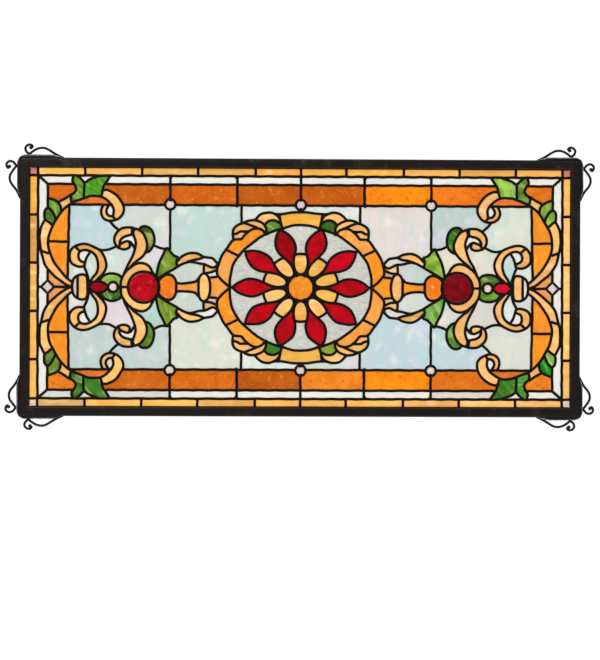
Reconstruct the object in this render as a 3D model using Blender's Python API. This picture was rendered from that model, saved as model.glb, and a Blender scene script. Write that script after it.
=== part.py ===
"""Leaded glass window panel: a scrolled picture in coloured glass, framed in metal channel.

Built in metres, +Z up. The front faces -Y. The origin is the middle of the top rail's back face.
The lead lines are drawn for one quarter, in squares of the glazier's cartoon measured from the
middle of the panel, and mirrored to the other three.
"""
import math

import bmesh
import bpy
from mathutils import Vector
from mathutils.geometry import delaunay_2d_cdt

# driving dimensions, in metres unless squares are named
SQUARE = 0.0015
SIGHT_HALF_WIDTH = 270.2 * SQUARE
SIGHT_HALF_HEIGHT = 119.2 * SQUARE
BAR_WIDTH = 9.4 * SQUARE
FRAME_DEPTH = 0.014
LIP_THICKNESS = 0.0038
GROOVE_DEPTH = 0.0075
GLASS_TUCK = 0.0065
GLASS_THICKNESS = 0.003
LEAD_RISE = 0.0013
GAP = 0.0003
LEAD_WIDTH = 0.00435
HEAVY_LEAD_WIDTH = 0.006
DRAWN_ERROR = 0.000375
PANE_ERROR = 0.0021
RIDGE_ERROR = 0.003
LEAST_PANE_SQUARES = 6.0
STRAP_INSET = 0.001
WIRE_RADIUS = 0.0012
WIRE_SIDES = 5

OUTER_HALF_WIDTH = SIGHT_HALF_WIDTH + BAR_WIDTH
OUTER_HALF_HEIGHT = SIGHT_HALF_HEIGHT + BAR_WIDTH
MIDDLE_Z = -(SIGHT_HALF_HEIGHT + BAR_WIDTH / 2)
MIDDLE_Y = -FRAME_DEPTH / 2
ROSE_X = 69.5
ROSE_Y = 62.0

# lead lines of one quarter, each list as across and up from the middle of the panel
STRAIGHT_LEADS = [
    [(261.5, 0), (261.5, 126)],
    [(0, 111), (277, 111)],
    [(252.2, 103), (252, 78)],
    [(252, 17), (252, 6)],
    [(252.2, 103), (227, 103)],
    [(195.5, 103), (0, 103)],
    [(230.8, 82), (232.2, 7.5)],
    [(230.8, 82), (188, 82)],
    [(177.4, 82), (135.2, 82)],
    [(125.4, 82), (4.9, 82)],
    [(261.5, 111), (252.2, 103)],
    [(0, 111), (0, 126)],
    [(45.3, 111), (45.3, 126)],
    [(102.7, 111), (102.7, 126)],
    [(158.5, 111), (158.5, 126)],
    [(215, 111), (215, 126)],
    [(261.5, 24), (277, 24)],
    [(261.5, 72), (277, 72)],
    [(130.3, 78), (130.3, 38.5)],
    [(59.2, 82), (59.2, 65)],
    [(259, 35.9), (251.1, 33.1)],
    [(251.5, 45.2), (231.6, 45)],
    [(247, 0), (227.7, 0)],
    [(261.5, 0), (257.5, 0)],
    [(187.5, 70.4), (184.7, 67)],
    [(182.8, 0), (172.2, 0)],
    [(224.3, 39.5), (220, 35.4)],
    [(222.2, 11.2), (222.2, 0)],
    [(74.8, 37.7), (62, 31.7)],
]
HEAVY_LEADS = [
    [(130.3, 110), (130.3, 87)],
    [(63.5, 110), (63.5, 82.5)],
    [(0, 110), (0, 87)],
    [(0, 78), (0, 76)],
    [(215.8, 104.2), (216.1, 96), (216.2, 89)],
    [(168, 59), (168.5, 52.5)],
    [(21.5, 73.4), (20.5, 66), (18.5, 59)],
]
CURVED_LEADS = [
    # great side arc, its outer line and the edges of the corner stem
    [(187.3, 70.6), (186.5, 76.9), (188.2, 81.2), (191, 84.4), (195, 87.7), (199, 89.9), (203, 90.7), (208, 90.5),
     (213, 89.7), (221.5, 86.4), (228, 83.7), (236.7, 76.9), (244, 66.4), (249.8, 54.8), (251.7, 42.3),
     (248.7, 30.8), (242.5, 19.8), (233.7, 9.7), (227.2, 4.4)],
    [(254.7, 67.2), (257.5, 61.9), (259.5, 56.4), (260.2, 49.4), (259.8, 42.4), (258.8, 36.4), (257, 28.9),
     (254.8, 22.4), (250.7, 16.1), (245.5, 11.2), (239.5, 6.1), (233.5, 2.2), (228, 0)],
    [(242, 84.1), (235.5, 87.8), (231, 90.6), (228.5, 92.2)],
    # two leaves on the side of the arc
    [(252, 88.4), (246.5, 86.6), (242, 84.1), (239.6, 80.9), (238.9, 77.5), (238.9, 73.6)],
    [(252, 79.1), (248, 75.4), (245.3, 70.4), (243.8, 66)],
    [(252, 79.1), (254.7, 76.1), (255.4, 71.9), (254.7, 67.2), (251, 64.4), (246.8, 60.6)],
    # two corner leaves and the white point between them
    [(226.6, 110.5), (227.8, 105.5), (225.2, 101.1), (224, 97.6), (225.2, 94.3), (228, 92), (229.4, 89), (228.8, 85.4),
     (228, 83.7)],
    [(223.1, 110.7), (219.7, 107.9), (215.5, 104.2), (211, 106.9), (206, 108.9), (201, 110.7)],
    [(190.5, 110.5), (192.5, 106.8), (195.4, 103.1), (196.8, 99.7), (197.7, 95.9), (198.2, 93.2), (199.3, 90)],
    # head scroll
    [(197.7, 95.9), (194, 96.7), (190, 95.4), (186, 93.2), (182.5, 90.1), (179.4, 85.9), (177.2, 81.6), (176.6, 77.4),
     (177.6, 72.9), (180.5, 69.2), (184.5, 66.9), (189, 65.9), (193.5, 66.5), (197.3, 69.3), (199.1, 73.5),
     (198.7, 77.5), (196.8, 82)],
    [(187.3, 70.6), (190.7, 70.8), (193.2, 73), (194, 76.3), (192.8, 79.3), (190.8, 82)],
    [(190.5, 65.6), (186.5, 60.9), (181.5, 56.6)],
    # middle scroll with its leaf
    [(165.4, 58.3), (170, 59.5), (175, 59.3), (179.5, 57.7), (183.2, 54.9), (185.4, 50.9), (185.8, 46.4), (184.7, 42.4),
     (181.8, 39.4), (178, 37.9), (174, 37.9), (171, 39.4), (170.2, 42.1), (171.2, 45)],
    [(167.3, 53.4), (171, 51.6), (175, 50.6), (178.5, 48.6), (180.4, 45.4), (180.5, 41.9), (181.5, 39.2)],
    [(180.2, 42.4), (177, 44.3), (173, 45.6), (169.7, 44.6), (167.5, 41.9), (165.3, 38.5)],
    [(165.4, 58.3), (167.1, 54.9), (166.4, 50.9), (165, 46.4), (164.6, 41.9), (165.6, 36.6), (167.5, 31.4), (170, 26.1),
     (172.5, 21.4), (176, 14)],
    [(165.4, 58.3), (161.5, 57.1), (157.8, 54), (154.7, 49), (153.2, 43.5), (153.5, 38.5), (155.5, 34), (158.7, 29.8),
     (163, 26.2), (167.5, 22.7), (170.5, 19)],
    [(161.5, 57.3), (159, 59.8), (155, 60.6), (151, 59.1), (147.8, 55.3), (146.2, 50.1), (146.3, 44.6), (148, 39.3),
     (151.2, 35.8), (155, 34.5)],
    # crescent over the large jewel
    [(179.4, 0), (179, 5.9), (176.7, 11.9), (173, 16.9), (168.5, 20.6), (163.5, 23.2), (158.5, 24.1), (154, 22.9),
     (150.4, 19.6), (148, 15.3), (144.9, 10.6)],
    # C scroll beside the knot
    [(205.6, 4.6), (201.5, 8.7), (197.5, 12.7), (194.7, 17.2), (193.8, 22.7), (195, 28.7), (198, 33.9), (202, 37.7),
     (207, 40.4), (212.5, 42.3), (218, 42.8), (223, 41.5), (227, 38.7), (229.5, 35), (230.3, 30.5), (229.7, 26),
     (227, 22.5), (223, 20.6), (219.5, 20.1), (215.5, 20.6)],
    [(211.2, 2.5), (207, 9.2), (203.5, 14.2), (202, 19.7), (202.2, 25.2), (204, 30.2), (207, 33.7), (210, 35.7),
     (214, 36.8), (218, 36.3), (220.7, 34.3), (221.7, 31.1), (221, 27.9), (219, 25.8), (214.8, 24)],
    [(209.6, 35), (212.7, 30.4), (214.2, 26.4), (215.3, 21.8), (215.7, 19.5), (214.2, 16.5), (212.3, 11.5),
     (211.3, 6.5), (211, 0)],
    [(201.4, 37.4), (197, 36.6), (192, 37.1), (188, 38.6), (183.6, 40.8)],
    # knot, and the drop beside it
    [(227.7, 0), (227.3, 5), (225.3, 9), (222, 11.5), (218, 12.6), (214, 11.2), (212.5, 6.5), (212.5, 0)],
    [(211.5, 0), (208, 3.8), (204, 5.7), (199, 5.4), (195, 3.4), (191.5, 0)],
    # green disc behind the drop and its jewel
    [(201, 5.2), (198.5, 9.2), (194.5, 12.3), (188.3, 13.8), (182, 12.3), (177.6, 9)],
    # link to the vase leaf
    [(146.7, 42.1), (142, 39.6), (137, 38.3), (130.3, 38.6)],
    # vase leaf
    [(132.8, 38.6), (130, 35.3), (126.7, 31.8), (122.5, 30), (123.8, 26.8), (123.8, 23.3), (122.3, 20.5)],
    [(133.5, 38.6), (135.4, 36.5), (137.3, 32.2), (140, 26.9), (142, 21.9), (143.2, 16.2), (144.2, 8)],
    # underside of leaf and handle
    [(144.5, 8), (140, 10.2), (135, 13.3), (130, 16.3), (125, 19.3), (120, 22.1), (115, 24.5), (110, 25.6),
     (105, 24.6), (100.5, 23.5), (96, 23.1), (92.5, 21.7), (89, 20), (86, 20.2), (82.6, 23)],
    [(122.8, 26), (120, 29.5), (116, 32.3), (111.5, 34.1), (107, 34.3), (102, 33.2), (97, 30.6), (92.5, 29.9),
     (88.5, 29.2), (85.3, 26.4), (82.6, 23)],
    [(113, 25.5), (107, 27.3), (102, 28.1), (96, 30.4)],
    [(96.4, 23.4), (96.8, 18.5), (96.4, 14.7), (92.5, 14.6), (88.5, 15.4), (83.4, 17.8)],
    [(91.3, 9.8), (83.4, 10.6)],
    # vase body, neck, rim and foot
    [(142, 0), (141.8, 5.8), (139.2, 9.5), (135.7, 11.7), (131.7, 12.7), (128, 11.3), (125.2, 7.8), (124.2, 3.8),
     (124.1, 0)],
    [(124.4, 4.4), (119, 3.8), (113, 4.2), (108, 4.9), (104.5, 6.1), (101.8, 9)],
    [(96.6, 14.5), (100, 11.7), (101.7, 8), (102, 3.5), (101.8, 0)],
    [(96.6, 14.5), (93.2, 11.9), (91.1, 7.6), (90.3, 3.6), (90.2, 0)],
    [(83.4, 12.7), (79.5, 8), (75, 3.7), (70.5, 0)],
    # ring about the rose
    [(83.4, 12.7), (83.5, 17.7), (82.2, 22.7), (80.5, 27.7), (78, 32.7), (74.8, 37.7), (71.2, 42.8), (67.2, 47.4),
     (63, 48.2), (59.2, 48.7), (56.5, 51.9), (53.3, 55), (49.8, 57.6), (46, 59), (41.8, 58.8), (38, 57), (35.2, 53)],
    [(70.6, 0), (70.7, 6.8), (70, 12.7), (67.3, 22.8), (61, 32.9), (50, 43.3), (38, 51.8), (28, 56.1), (18, 59.3),
     (8, 62.1), (0, 62.7)],
    # curls on the ring
    [(67.2, 47.4), (67.8, 52.2), (67.4, 57.3), (65.2, 60.8), (61.5, 63.2), (57.5, 64.4), (54, 66.1), (50, 67.2),
     (46, 67.3), (41.5, 65.9), (37.5, 63.5), (35, 59.9), (34.3, 56.4), (34.4, 53.2)],
    [(57.5, 64.4), (55, 64.1), (50, 62.2), (45, 60.1), (40, 58)],
    [(67.6, 53), (63.5, 54.1), (60.5, 56), (56.5, 56), (51.5, 56)],
    [(45.5, 67.7), (42.5, 71.2), (39, 73.7), (35, 74.8), (31, 75), (27.2, 73.9), (23.5, 71.8), (21, 68)],
    [(36.4, 62.5), (33, 65.9), (29, 67.2), (25, 66.7), (20.3, 64)],
    [(26, 73.5), (21, 73.4), (15, 74.2), (8, 75.1), (0, 75.5)],
]
DIAMOND_LEAD = [(258.5, 0), (252, 6.4), (245.5, 0), (252, -6.4)]
ROUND_LEADS = [(130.3, 82.6, 5.1), (0, 82.6, 5.1), (156.6, 0, 15.6), (187, 0, 4.9)]

# corner strap and scroll wires, in squares outward from the frame's outer corner
STRAP_OUTLINE = [
    (0.2, 0.2), (-41.5, 0.2), (-41, 0.7), (-38.5, 1.9), (-34, 3), (-3, 3), (-0.7, 2.5), (1.2, 1.2), (2.5, -0.7),
    (3, -3), (3, -26), (2.5, -33), (1.3, -36.5), (0.7, -38), (0.2, -38.5),
]
TOP_WIRE = [
    (-10.5, 10.2), (-12.2, 11.2), (-11.3, 12.7), (-9.3, 13.4), (-6.8, 12.7), (-5, 10.5), (-4.8, 8.5), (-5.8, 6.2),
    (-7.5, 4.6), (-9.5, 4.15), (-11.5, 5.6), (-14, 7.3), (-16.5, 8.6), (-19.5, 9.5), (-22.5, 9.7), (-25.5, 9.1),
    (-29, 7.4), (-31.7, 5.7), (-34, 4.15),
]
SIDE_WIRE = [
    (11, -9), (12.2, -10.5), (13.7, -9.5), (14.3, -7.3), (13.5, -5), (11.5, -3.5), (9.5, -3.2), (7, -4.3),
    (5.1, -6.5), (4.15, -8.5), (5.6, -10.5), (7.5, -13.2), (9.5, -16), (10.5, -19.5), (10.2, -23), (8.5, -26.5),
    (6.2, -29.3), (4.15, -31.4),
]


def smoothed(points):
    """A curve through the drawn points."""
    before = (2 * points[0][0] - points[1][0], 2 * points[0][1] - points[1][1])
    after = (2 * points[-1][0] - points[-2][0], 2 * points[-1][1] - points[-2][1])
    drawn = [before] + list(points) + [after]
    curve = [points[0]]
    for i in range(len(points) - 1):
        a, b, c, d = drawn[i:i + 4]
        for step in range(1, 7):
            t = step / 6
            curve.append(tuple(
                0.5 * (2 * q + (r - p) * t + (2 * p - 5 * q + 4 * r - s) * t * t + (3 * q - p - 3 * r + s) * t ** 3)
                for p, q, r, s in zip(a, b, c, d)
            ))
    return curve


def thinned(points, error):
    """Fewest points that keep the curve within the chord error."""
    if len(points) < 3:
        return list(points)
    ax, ay = points[0]
    bx, by = points[-1]
    length = math.hypot(bx - ax, by - ay)
    worst, place = 0.0, 0
    for i in range(1, len(points) - 1):
        px, py = points[i]
        if length < 1e-6:
            off = math.hypot(px - ax, py - ay)
        else:
            off = abs((bx - ax) * (py - ay) - (by - ay) * (px - ax)) / length
        if off > worst:
            worst, place = off, i
    if worst <= error:
        return [points[0], points[-1]]
    return thinned(points[:place + 1], error)[:-1] + thinned(points[place:], error)


def mirrored(points):
    """The same line in each quarter, without repeats on the axes."""
    lines = []
    for across in (1, -1):
        for up in (1, -1):
            line = [(across * x, up * y) for x, y in points]
            if line not in lines:
                lines.append(line)
    return lines


def ring_points(x, y, radius, count):
    turn = 2 * math.pi / count
    return [(x + radius * math.cos(turn * (i + 0.5)), y + radius * math.sin(turn * (i + 0.5))) for i in range(count)]


def rose_point(turn, share, aside=0.0):
    """A point of the rose: share of the way from its middle to the ring, and a step aside."""
    x = share * math.cos(turn) - aside * math.sin(turn)
    y = share * math.sin(turn) + aside * math.cos(turn)
    return (ROSE_X * x, ROSE_Y * y)


def lead_lines():
    """Every lead line as (points, closed, half width), in squares."""
    lines = []
    half = LEAD_WIDTH / 2 / SQUARE
    heavy = HEAVY_LEAD_WIDTH / 2 / SQUARE
    error = DRAWN_ERROR / SQUARE
    for points in STRAIGHT_LEADS:
        lines += [(line, False, half) for line in mirrored(points)]
    for points in HEAVY_LEADS:
        lines += [(line, False, heavy) for line in mirrored(points)]
    for points in CURVED_LEADS:
        lines += [(line, False, half) for line in mirrored(thinned(smoothed(points), error))]
    for across in (1, -1):
        lines.append(([(across * x, y) for x, y in DIAMOND_LEAD], True, half))
    for x, y, radius in ROUND_LEADS:
        count = 16 if radius > 10 else 8
        for centre in {(x, y), (-x, y), (x, -y), (-x, -y)}:
            lines.append((ring_points(centre[0], centre[1], radius, count), True, half))
    for k in range(10):
        turn = math.radians(36 * k)
        for side in (1, -1):
            petal = []
            for share, aside in ((0.42, 0), (0.5, 0.062), (0.59, 0.115), (0.71, 0.141), (0.85, 0.106), (0.985, 0)):
                petal.append(rose_point(turn, share, side * aside))
            lines.append((petal, False, half))
        x, y = rose_point(turn, 0.44)
        inward = 13.2 / math.hypot(x, y)
        lines.append(([(x, y), (inward * x, inward * y)], False, half))
        between = turn + math.radians(18)
        lines.append(([rose_point(between, 0.53, -0.11), rose_point(between, 0.53, 0.11)], False, half))
    lines.append((ring_points(0, 0, 13.2, 10), True, half))
    return lines


def lead_edge(points, closed, half):
    """The outline of a lead: its two sides mitred at bends, with pointed ends."""
    count = len(points)
    last = count if closed else count - 1
    normals = []
    for i in range(last):
        x0, y0 = points[i]
        x1, y1 = points[(i + 1) % count]
        length = math.hypot(x1 - x0, y1 - y0)
        normals.append(((y0 - y1) / length, (x1 - x0) / length))
    left, right = [], []
    for i in range(count):
        if closed:
            one, two = normals[i - 1], normals[i]
        else:
            one, two = normals[max(i - 1, 0)], normals[min(i, last - 1)]
        sx, sy = one[0] + two[0], one[1] + two[1]
        scale = half / max((sx * sx + sy * sy) / 2, 0.9)
        left.append((points[i][0] + sx * scale, points[i][1] + sy * scale))
        right.append((points[i][0] - sx * scale, points[i][1] - sy * scale))
    if closed:
        return [left, right]
    tip = (points[-1][0] + normals[-1][1] * half, points[-1][1] - normals[-1][0] * half)
    tail = (points[0][0] - normals[0][1] * half, points[0][1] + normals[0][0] * half)
    return [left + [tip] + right[::-1] + [tail]]


def segment_grid(lines):
    """The leads' segments filed by the patches of the sheet they reach."""
    grid = {}
    for points, closed, half in lines:
        count = len(points)
        for i in range(count if closed else count - 1):
            x0, y0 = points[i]
            x1, y1 = points[(i + 1) % count]
            for column in range(int((min(x0, x1) - half) // 8), int((max(x0, x1) + half) // 8) + 1):
                for row in range(int((min(y0, y1) - half) // 8), int((max(y0, y1) + half) // 8) + 1):
                    grid.setdefault((column, row), []).append((x0, y0, x1 - x0, y1 - y0, half))
    return grid


def nearness(point, grid):
    """1 on a lead's middle line, falling to 0 at its edge."""
    px, py = point
    best = 0.0
    for x0, y0, dx, dy, half in grid.get((int(px // 8), int(py // 8)), []):
        t = max(0.0, min(1.0, ((px - x0) * dx + (py - y0) * dy) / (dx * dx + dy * dy)))
        off = math.hypot(px - x0 - t * dx, py - y0 - t * dy)
        best = max(best, 1 - off / half)
    return best


def sheet_corners():
    wide = (SIGHT_HALF_WIDTH + GLASS_TUCK) / SQUARE
    high = (SIGHT_HALF_HEIGHT + GLASS_TUCK) / SQUARE
    return [Vector(c) for c in ((-wide, -high), (wide, -high), (wide, high), (-wide, high))]


def arrange(lines):
    """Cut the sheet along every lead. Returns points, triangles and whether each is lead."""
    corners = sheet_corners()
    edges = []
    for points, closed, half in lines:
        for side in lead_edge(points, closed, half):
            start = len(corners)
            corners += [Vector(p) for p in side]
            edges += [(start + i, start + (i + 1) % len(side)) for i in range(len(side))]
    points, _, triangles, _, _, parents = delaunay_2d_cdt(corners, edges, [[0, 1, 2, 3]], 1, 0.01)
    points = [(p.x, p.y) for p in points]
    triangles = [tri for tri, parent in zip(triangles, parents) if 0 in parent]
    grid = segment_grid(lines)
    is_lead = []
    for tri in triangles:
        middle = (sum(points[i][0] for i in tri) / 3, sum(points[i][1] for i in tri) / 3)
        is_lead.append(nearness(middle, grid) > 0.01)
    return points, triangles, is_lead


def area_of(loop):
    return 0.5 * sum(loop[i - 1][0] * loop[i][1] - loop[i][0] * loop[i - 1][1] for i in range(len(loop)))


def thinned_loop(loop, error):
    """A closed loop with fewer points, split for thinning at its two farthest points."""
    far = max(range(len(loop)), key=lambda i: math.hypot(loop[i][0] - loop[0][0], loop[i][1] - loop[0][1]))
    loop = loop[far:] + loop[:far]
    far = max(range(len(loop)), key=lambda i: math.hypot(loop[i][0] - loop[0][0], loop[i][1] - loop[0][1]))
    return thinned(loop[:far + 1], error)[:-1] + thinned(loop[far:] + loop[:1], error)[:-1]


def coarse_loop(loop):
    """A pane's outline with fewer points, finer where the pane is narrow."""
    round_it = sum(math.hypot(loop[i][0] - loop[i - 1][0], loop[i][1] - loop[i - 1][1]) for i in range(len(loop)))
    mean_width = 2 * area_of(loop) / round_it
    return thinned_loop(loop, min(PANE_ERROR / SQUARE, 0.3 * mean_width))


def pane_loops(lines):
    """The outline of every pane left between the leads."""
    points, triangles, is_lead = arrange(lines)
    loops = []
    for group in panes(triangles, is_lead):
        rims = [[points[i] for i in loop] for loop in outline_loops([triangles[index] for index in group])]
        rims.sort(key=area_of)
        if area_of(rims[-1]) > LEAST_PANE_SQUARES:
            loops.append(rims[-1])
    return loops


def holds(loop, spot):
    """Whether a spot lies inside a loop."""
    inside = False
    for i in range(len(loop)):
        (x0, y0), (x1, y1) = loop[i - 1], loop[i]
        if (y0 > spot[1]) != (y1 > spot[1]) and spot[0] < x0 + (spot[1] - y0) * (x1 - x0) / (y1 - y0):
            inside = not inside
    return inside


def panes(triangles, is_lead):
    """Group the glass triangles into panes that share edges."""
    by_edge = {}
    for index, tri in enumerate(triangles):
        if is_lead[index]:
            continue
        for i in range(3):
            by_edge.setdefault(frozenset((tri[i], tri[(i + 1) % 3])), []).append(index)
    neighbours = {}
    for pair in by_edge.values():
        if len(pair) == 2:
            neighbours.setdefault(pair[0], []).append(pair[1])
            neighbours.setdefault(pair[1], []).append(pair[0])
    groups = []
    seen = set()
    for index in range(len(triangles)):
        if is_lead[index] or index in seen:
            continue
        group, queue = [], [index]
        seen.add(index)
        while queue:
            current = queue.pop()
            group.append(current)
            for other in neighbours.get(current, []):
                if other not in seen:
                    seen.add(other)
                    queue.append(other)
        groups.append(group)
    return groups


def outline_loops(triangles):
    """Boundary loops of a set of triangles, solid on the left."""
    onward = {}
    edges = {}
    for tri in triangles:
        for i in range(3):
            edges[(tri[i], tri[(i + 1) % 3])] = True
    for a, b in edges:
        if (b, a) not in edges:
            onward.setdefault(a, []).append(b)
    loops = []
    while onward:
        start = next(iter(onward))
        loop, current = [], start
        while current in onward:
            loop.append(current)
            following = onward[current].pop()
            if not onward[current]:
                del onward[current]
            current = following
        loops.append(loop)
    return loops


def place(x, y, depth):
    """Cartoon squares and a depth in metres to the row's frame."""
    return (x * SQUARE, depth, MIDDLE_Z + y * SQUARE)


def add_solid(name, verts, faces):
    """A closed mesh with outward faces."""
    mesh = bpy.data.meshes.new(name)
    built = bmesh.new()
    made = [built.verts.new(v) for v in verts]
    for face in faces:
        built.faces.new([made[i] for i in face])
    bmesh.ops.recalc_face_normals(built, faces=built.faces)
    built.to_mesh(mesh)
    built.free()
    thing = bpy.data.objects.new(name, mesh)
    bpy.context.scene.collection.objects.link(thing)
    return thing


def inset(loop, distance):
    """The loop moved inward; it runs with its inside on the left."""
    moved = []
    count = len(loop)
    for i in range(count):
        x0, y0 = loop[i - 1]
        x1, y1 = loop[i]
        x2, y2 = loop[(i + 1) % count]
        a = math.hypot(x1 - x0, y1 - y0)
        b = math.hypot(x2 - x1, y2 - y1)
        nx = (y0 - y1) / a + (y1 - y2) / b
        ny = (x1 - x0) / a + (x2 - x1) / b
        scale = distance / max((nx * nx + ny * ny) / 2, 0.25)
        moved.append((x1 + nx * scale, y1 + ny * scale))
    return moved


def merged_loop(loop, least):
    """The loop without points closer together than the least spacing."""
    kept = []
    for point in loop:
        if not kept or math.hypot(point[0] - kept[-1][0], point[1] - kept[-1][1]) >= least:
            kept.append(point)
    while len(kept) > 3 and math.hypot(kept[0][0] - kept[-1][0], kept[0][1] - kept[-1][1]) < least:
        kept.pop()
    return kept


def add_plate(name, loop, front, back):
    """A flat plate cut to a loop."""
    count = len(loop)
    verts = [place(x, y, front) for x, y in loop] + [place(x, y, back) for x, y in loop]
    faces = [list(range(count)), list(range(2 * count - 1, count - 1, -1))]
    for i in range(count):
        j = (i + 1) % count
        faces.append([i, j, count + j, count + i])
    return add_solid(name, verts, faces)


def loose_glass():
    """Name and a spot inside each pane that is a node of its own."""
    spots = {"rose_boss": (0, 0)}
    for k in range(10):
        turn = math.radians(36 * k)
        spots[f"red_petal_{36 * k:03d}"] = rose_point(turn, 0.7)
        spots[f"amber_petal_{36 * k + 18:03d}"] = rose_point(turn + math.radians(18), 0.37)
    for side, across in (("left", -1), ("right", 1)):
        spots[f"large_jewel_{side}"] = (across * 156.6, 0)
        spots[f"disc_jewel_{side}"] = (across * 187, 0)
        spots[f"diamond_jewel_{side}"] = (across * 252, 0)
        spots[f"red_drop_{side}"] = (across * 206, 0)
        for level, up in (("top", 1), ("bottom", -1)):
            spots[f"border_jewel_{level}_{side}"] = (across * 130.3, up * 82.6)
            spots[f"corner_leaf_{level}_{side}"] = (across * 206, up * 100)
            spots[f"vase_leaf_{level}_{side}"] = (across * 131, up * 25)
    spots["border_jewel_top_middle"] = (0, 82.6)
    spots["border_jewel_bottom_middle"] = (0, -82.6)
    return spots


def build_glazing():
    """The leaded field with its fused panes, and the separate glass pieces."""
    lines = lead_lines()
    loops = [coarse_loop(loop) for loop in pane_loops(lines)]
    print("panes", len(loops))
    front = MIDDLE_Y - GLASS_THICKNESS / 2
    back = MIDDLE_Y + GLASS_THICKNESS / 2
    grid = segment_grid(lines)
    loose = set()
    for name, spot in loose_glass().items():
        found = [k for k, loop in enumerate(loops) if holds(loop, spot)]
        if len(found) != 1 or found[0] in loose:
            raise ValueError("no pane of its own at " + name)
        loose.add(found[0])
        add_plate(name, inset(loops[found[0]], GAP / SQUARE), front, back)

    # the sheet again, cut only by pane outlines and the leads' middle lines
    spots = sheet_corners()
    cells = [[0, 1, 2, 3]]
    for loop in loops:
        cells.append(list(range(len(spots), len(spots) + len(loop))))
        spots += [Vector(p) for p in loop]
    pane_spots = len(spots)
    ridges = []
    for line, closed, _ in lines:
        path = line if closed else thinned(line, RIDGE_ERROR / SQUARE)
        start = len(spots)
        spots += [Vector(p) for p in path]
        ridges += [(start + i, start + i + 1) for i in range(len(path) - 1)]
        if closed:
            ridges.append((start + len(path) - 1, start))
    points, _, triangles, source, _, parents = delaunay_2d_cdt(spots, ridges, cells, 1, 0.4)
    points = [(p.x, p.y) for p in points]
    flush = {i for i, origin in enumerate(source) if any(4 <= k < pane_spots for k in origin)}
    holes = [loops[k] for k in loose]
    field = []
    for tri, parent in zip(triangles, parents):
        middle = (sum(points[i][0] for i in tri) / 3, sum(points[i][1] for i in tri) / 3)
        if 0 in parent and not any(holds(hole, middle) for hole in holes):
            field.append(tri)
    used = sorted({i for tri in field for i in tri})
    number = {i: n for n, i in enumerate(used)}
    verts = []
    for i in used:
        rise = 0.0 if i in flush else LEAD_RISE * nearness(points[i], grid)
        verts.append(place(points[i][0], points[i][1], front - rise))
    faces = [[number[i] for i in tri] for tri in field]
    rims = outline_loops(field)
    behind = {}
    for loop in rims:
        for i in loop:
            behind[i] = len(verts)
            verts.append(place(points[i][0], points[i][1], back))
        for k in range(len(loop)):
            a, b = loop[k], loop[(k + 1) % len(loop)]
            faces.append([number[a], number[b], behind[b], behind[a]])
    rims.sort(key=lambda loop: -abs(area_of([points[i] for i in loop])))
    flat = []
    owner = []
    cells = []
    for loop in rims:
        cell = list(range(len(flat), len(flat) + len(loop)))
        flat += [Vector(points[i]) for i in loop]
        owner += [behind[i] for i in loop]
        cells.append(cell if area_of([points[i] for i in loop]) > 0 else cell[::-1])
    _, _, sheet, source, _, parents = delaunay_2d_cdt(flat, [], cells, 1, 1e-5)
    for tri, parent in zip(sheet, parents):
        if list(parent) == [0]:
            faces.append([owner[source[i][0]] for i in tri])
    add_solid("leaded_field", verts, faces)


def bar_profile():
    """Section of the frame channel: outward from the sight edge, and depth."""
    w, d, g, lip = BAR_WIDTH, FRAME_DEPTH, GROOVE_DEPTH, LIP_THICKNESS
    return [
        (0, -d + 0.0018), (0.0005, -d + 0.0007), (0.0018, -d + 0.0001), (w * 0.5, -d), (w - 0.0022, -d + 0.0001),
        (w - 0.0007, -d + 0.0007), (w, -d + 0.0022), (w, -0.0008), (w - 0.0008, 0), (0.0008, 0), (0, -0.0008),
        (0, -lip), (g, -lip), (g, -d + lip), (0, -d + lip),
    ]


def add_bar(name, along_x, side):
    """A mitred length of channel on one side of the glass."""
    verts = []
    profile = bar_profile()
    for end in (-1, 1):
        for out, depth in profile:
            if along_x:
                x = end * (SIGHT_HALF_WIDTH + out - GAP * 0.7)
                z = side * (SIGHT_HALF_HEIGHT + out)
            else:
                x = side * (SIGHT_HALF_WIDTH + out)
                z = end * (SIGHT_HALF_HEIGHT + out - GAP * 0.7)
            verts.append((x, depth, MIDDLE_Z + z))
    count = len(profile)
    faces = [list(range(count)), list(range(2 * count - 1, count - 1, -1))]
    for i in range(count):
        j = (i + 1) % count
        faces.append([i, j, count + j, count + i])
    add_solid(name, verts, faces)


def from_corner(across, up, out_x, out_y):
    """Squares outward from a frame corner to squares from the panel's middle."""
    return (across * (OUTER_HALF_WIDTH / SQUARE + out_x), up * (OUTER_HALF_HEIGHT / SQUARE + out_y))


def add_wire(name, across, up, points):
    """A round wire bent to a scroll, with a small ball at its curled end."""
    path = thinned(smoothed(points), 0.32)
    centres = [Vector(place(*from_corner(across, up, x, y), MIDDLE_Y)) for x, y in path]
    verts = []
    rows = len(centres)
    for i, centre in enumerate(centres):
        ahead = centres[min(i + 1, rows - 1)] - centres[max(i - 1, 0)]
        side = ahead.normalized().cross(Vector((0, 1, 0)))
        radius = WIRE_RADIUS * (1.45 if i == 1 else 1.0)
        for k in range(WIRE_SIDES):
            turn = 2 * math.pi * k / WIRE_SIDES
            verts.append(centre + radius * (math.cos(turn) * side + math.sin(turn) * Vector((0, 1, 0))))
    faces = [list(range(WIRE_SIDES)), list(range(rows * WIRE_SIDES - 1, (rows - 1) * WIRE_SIDES - 1, -1))]
    for i in range(rows - 1):
        for k in range(WIRE_SIDES):
            j = (k + 1) % WIRE_SIDES
            a, b = i * WIRE_SIDES, (i + 1) * WIRE_SIDES
            faces.append([a + k, a + j, b + j, b + k])
    add_solid(name, verts, faces)


for thing in list(bpy.data.objects):
    bpy.data.objects.remove(thing)

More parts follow.
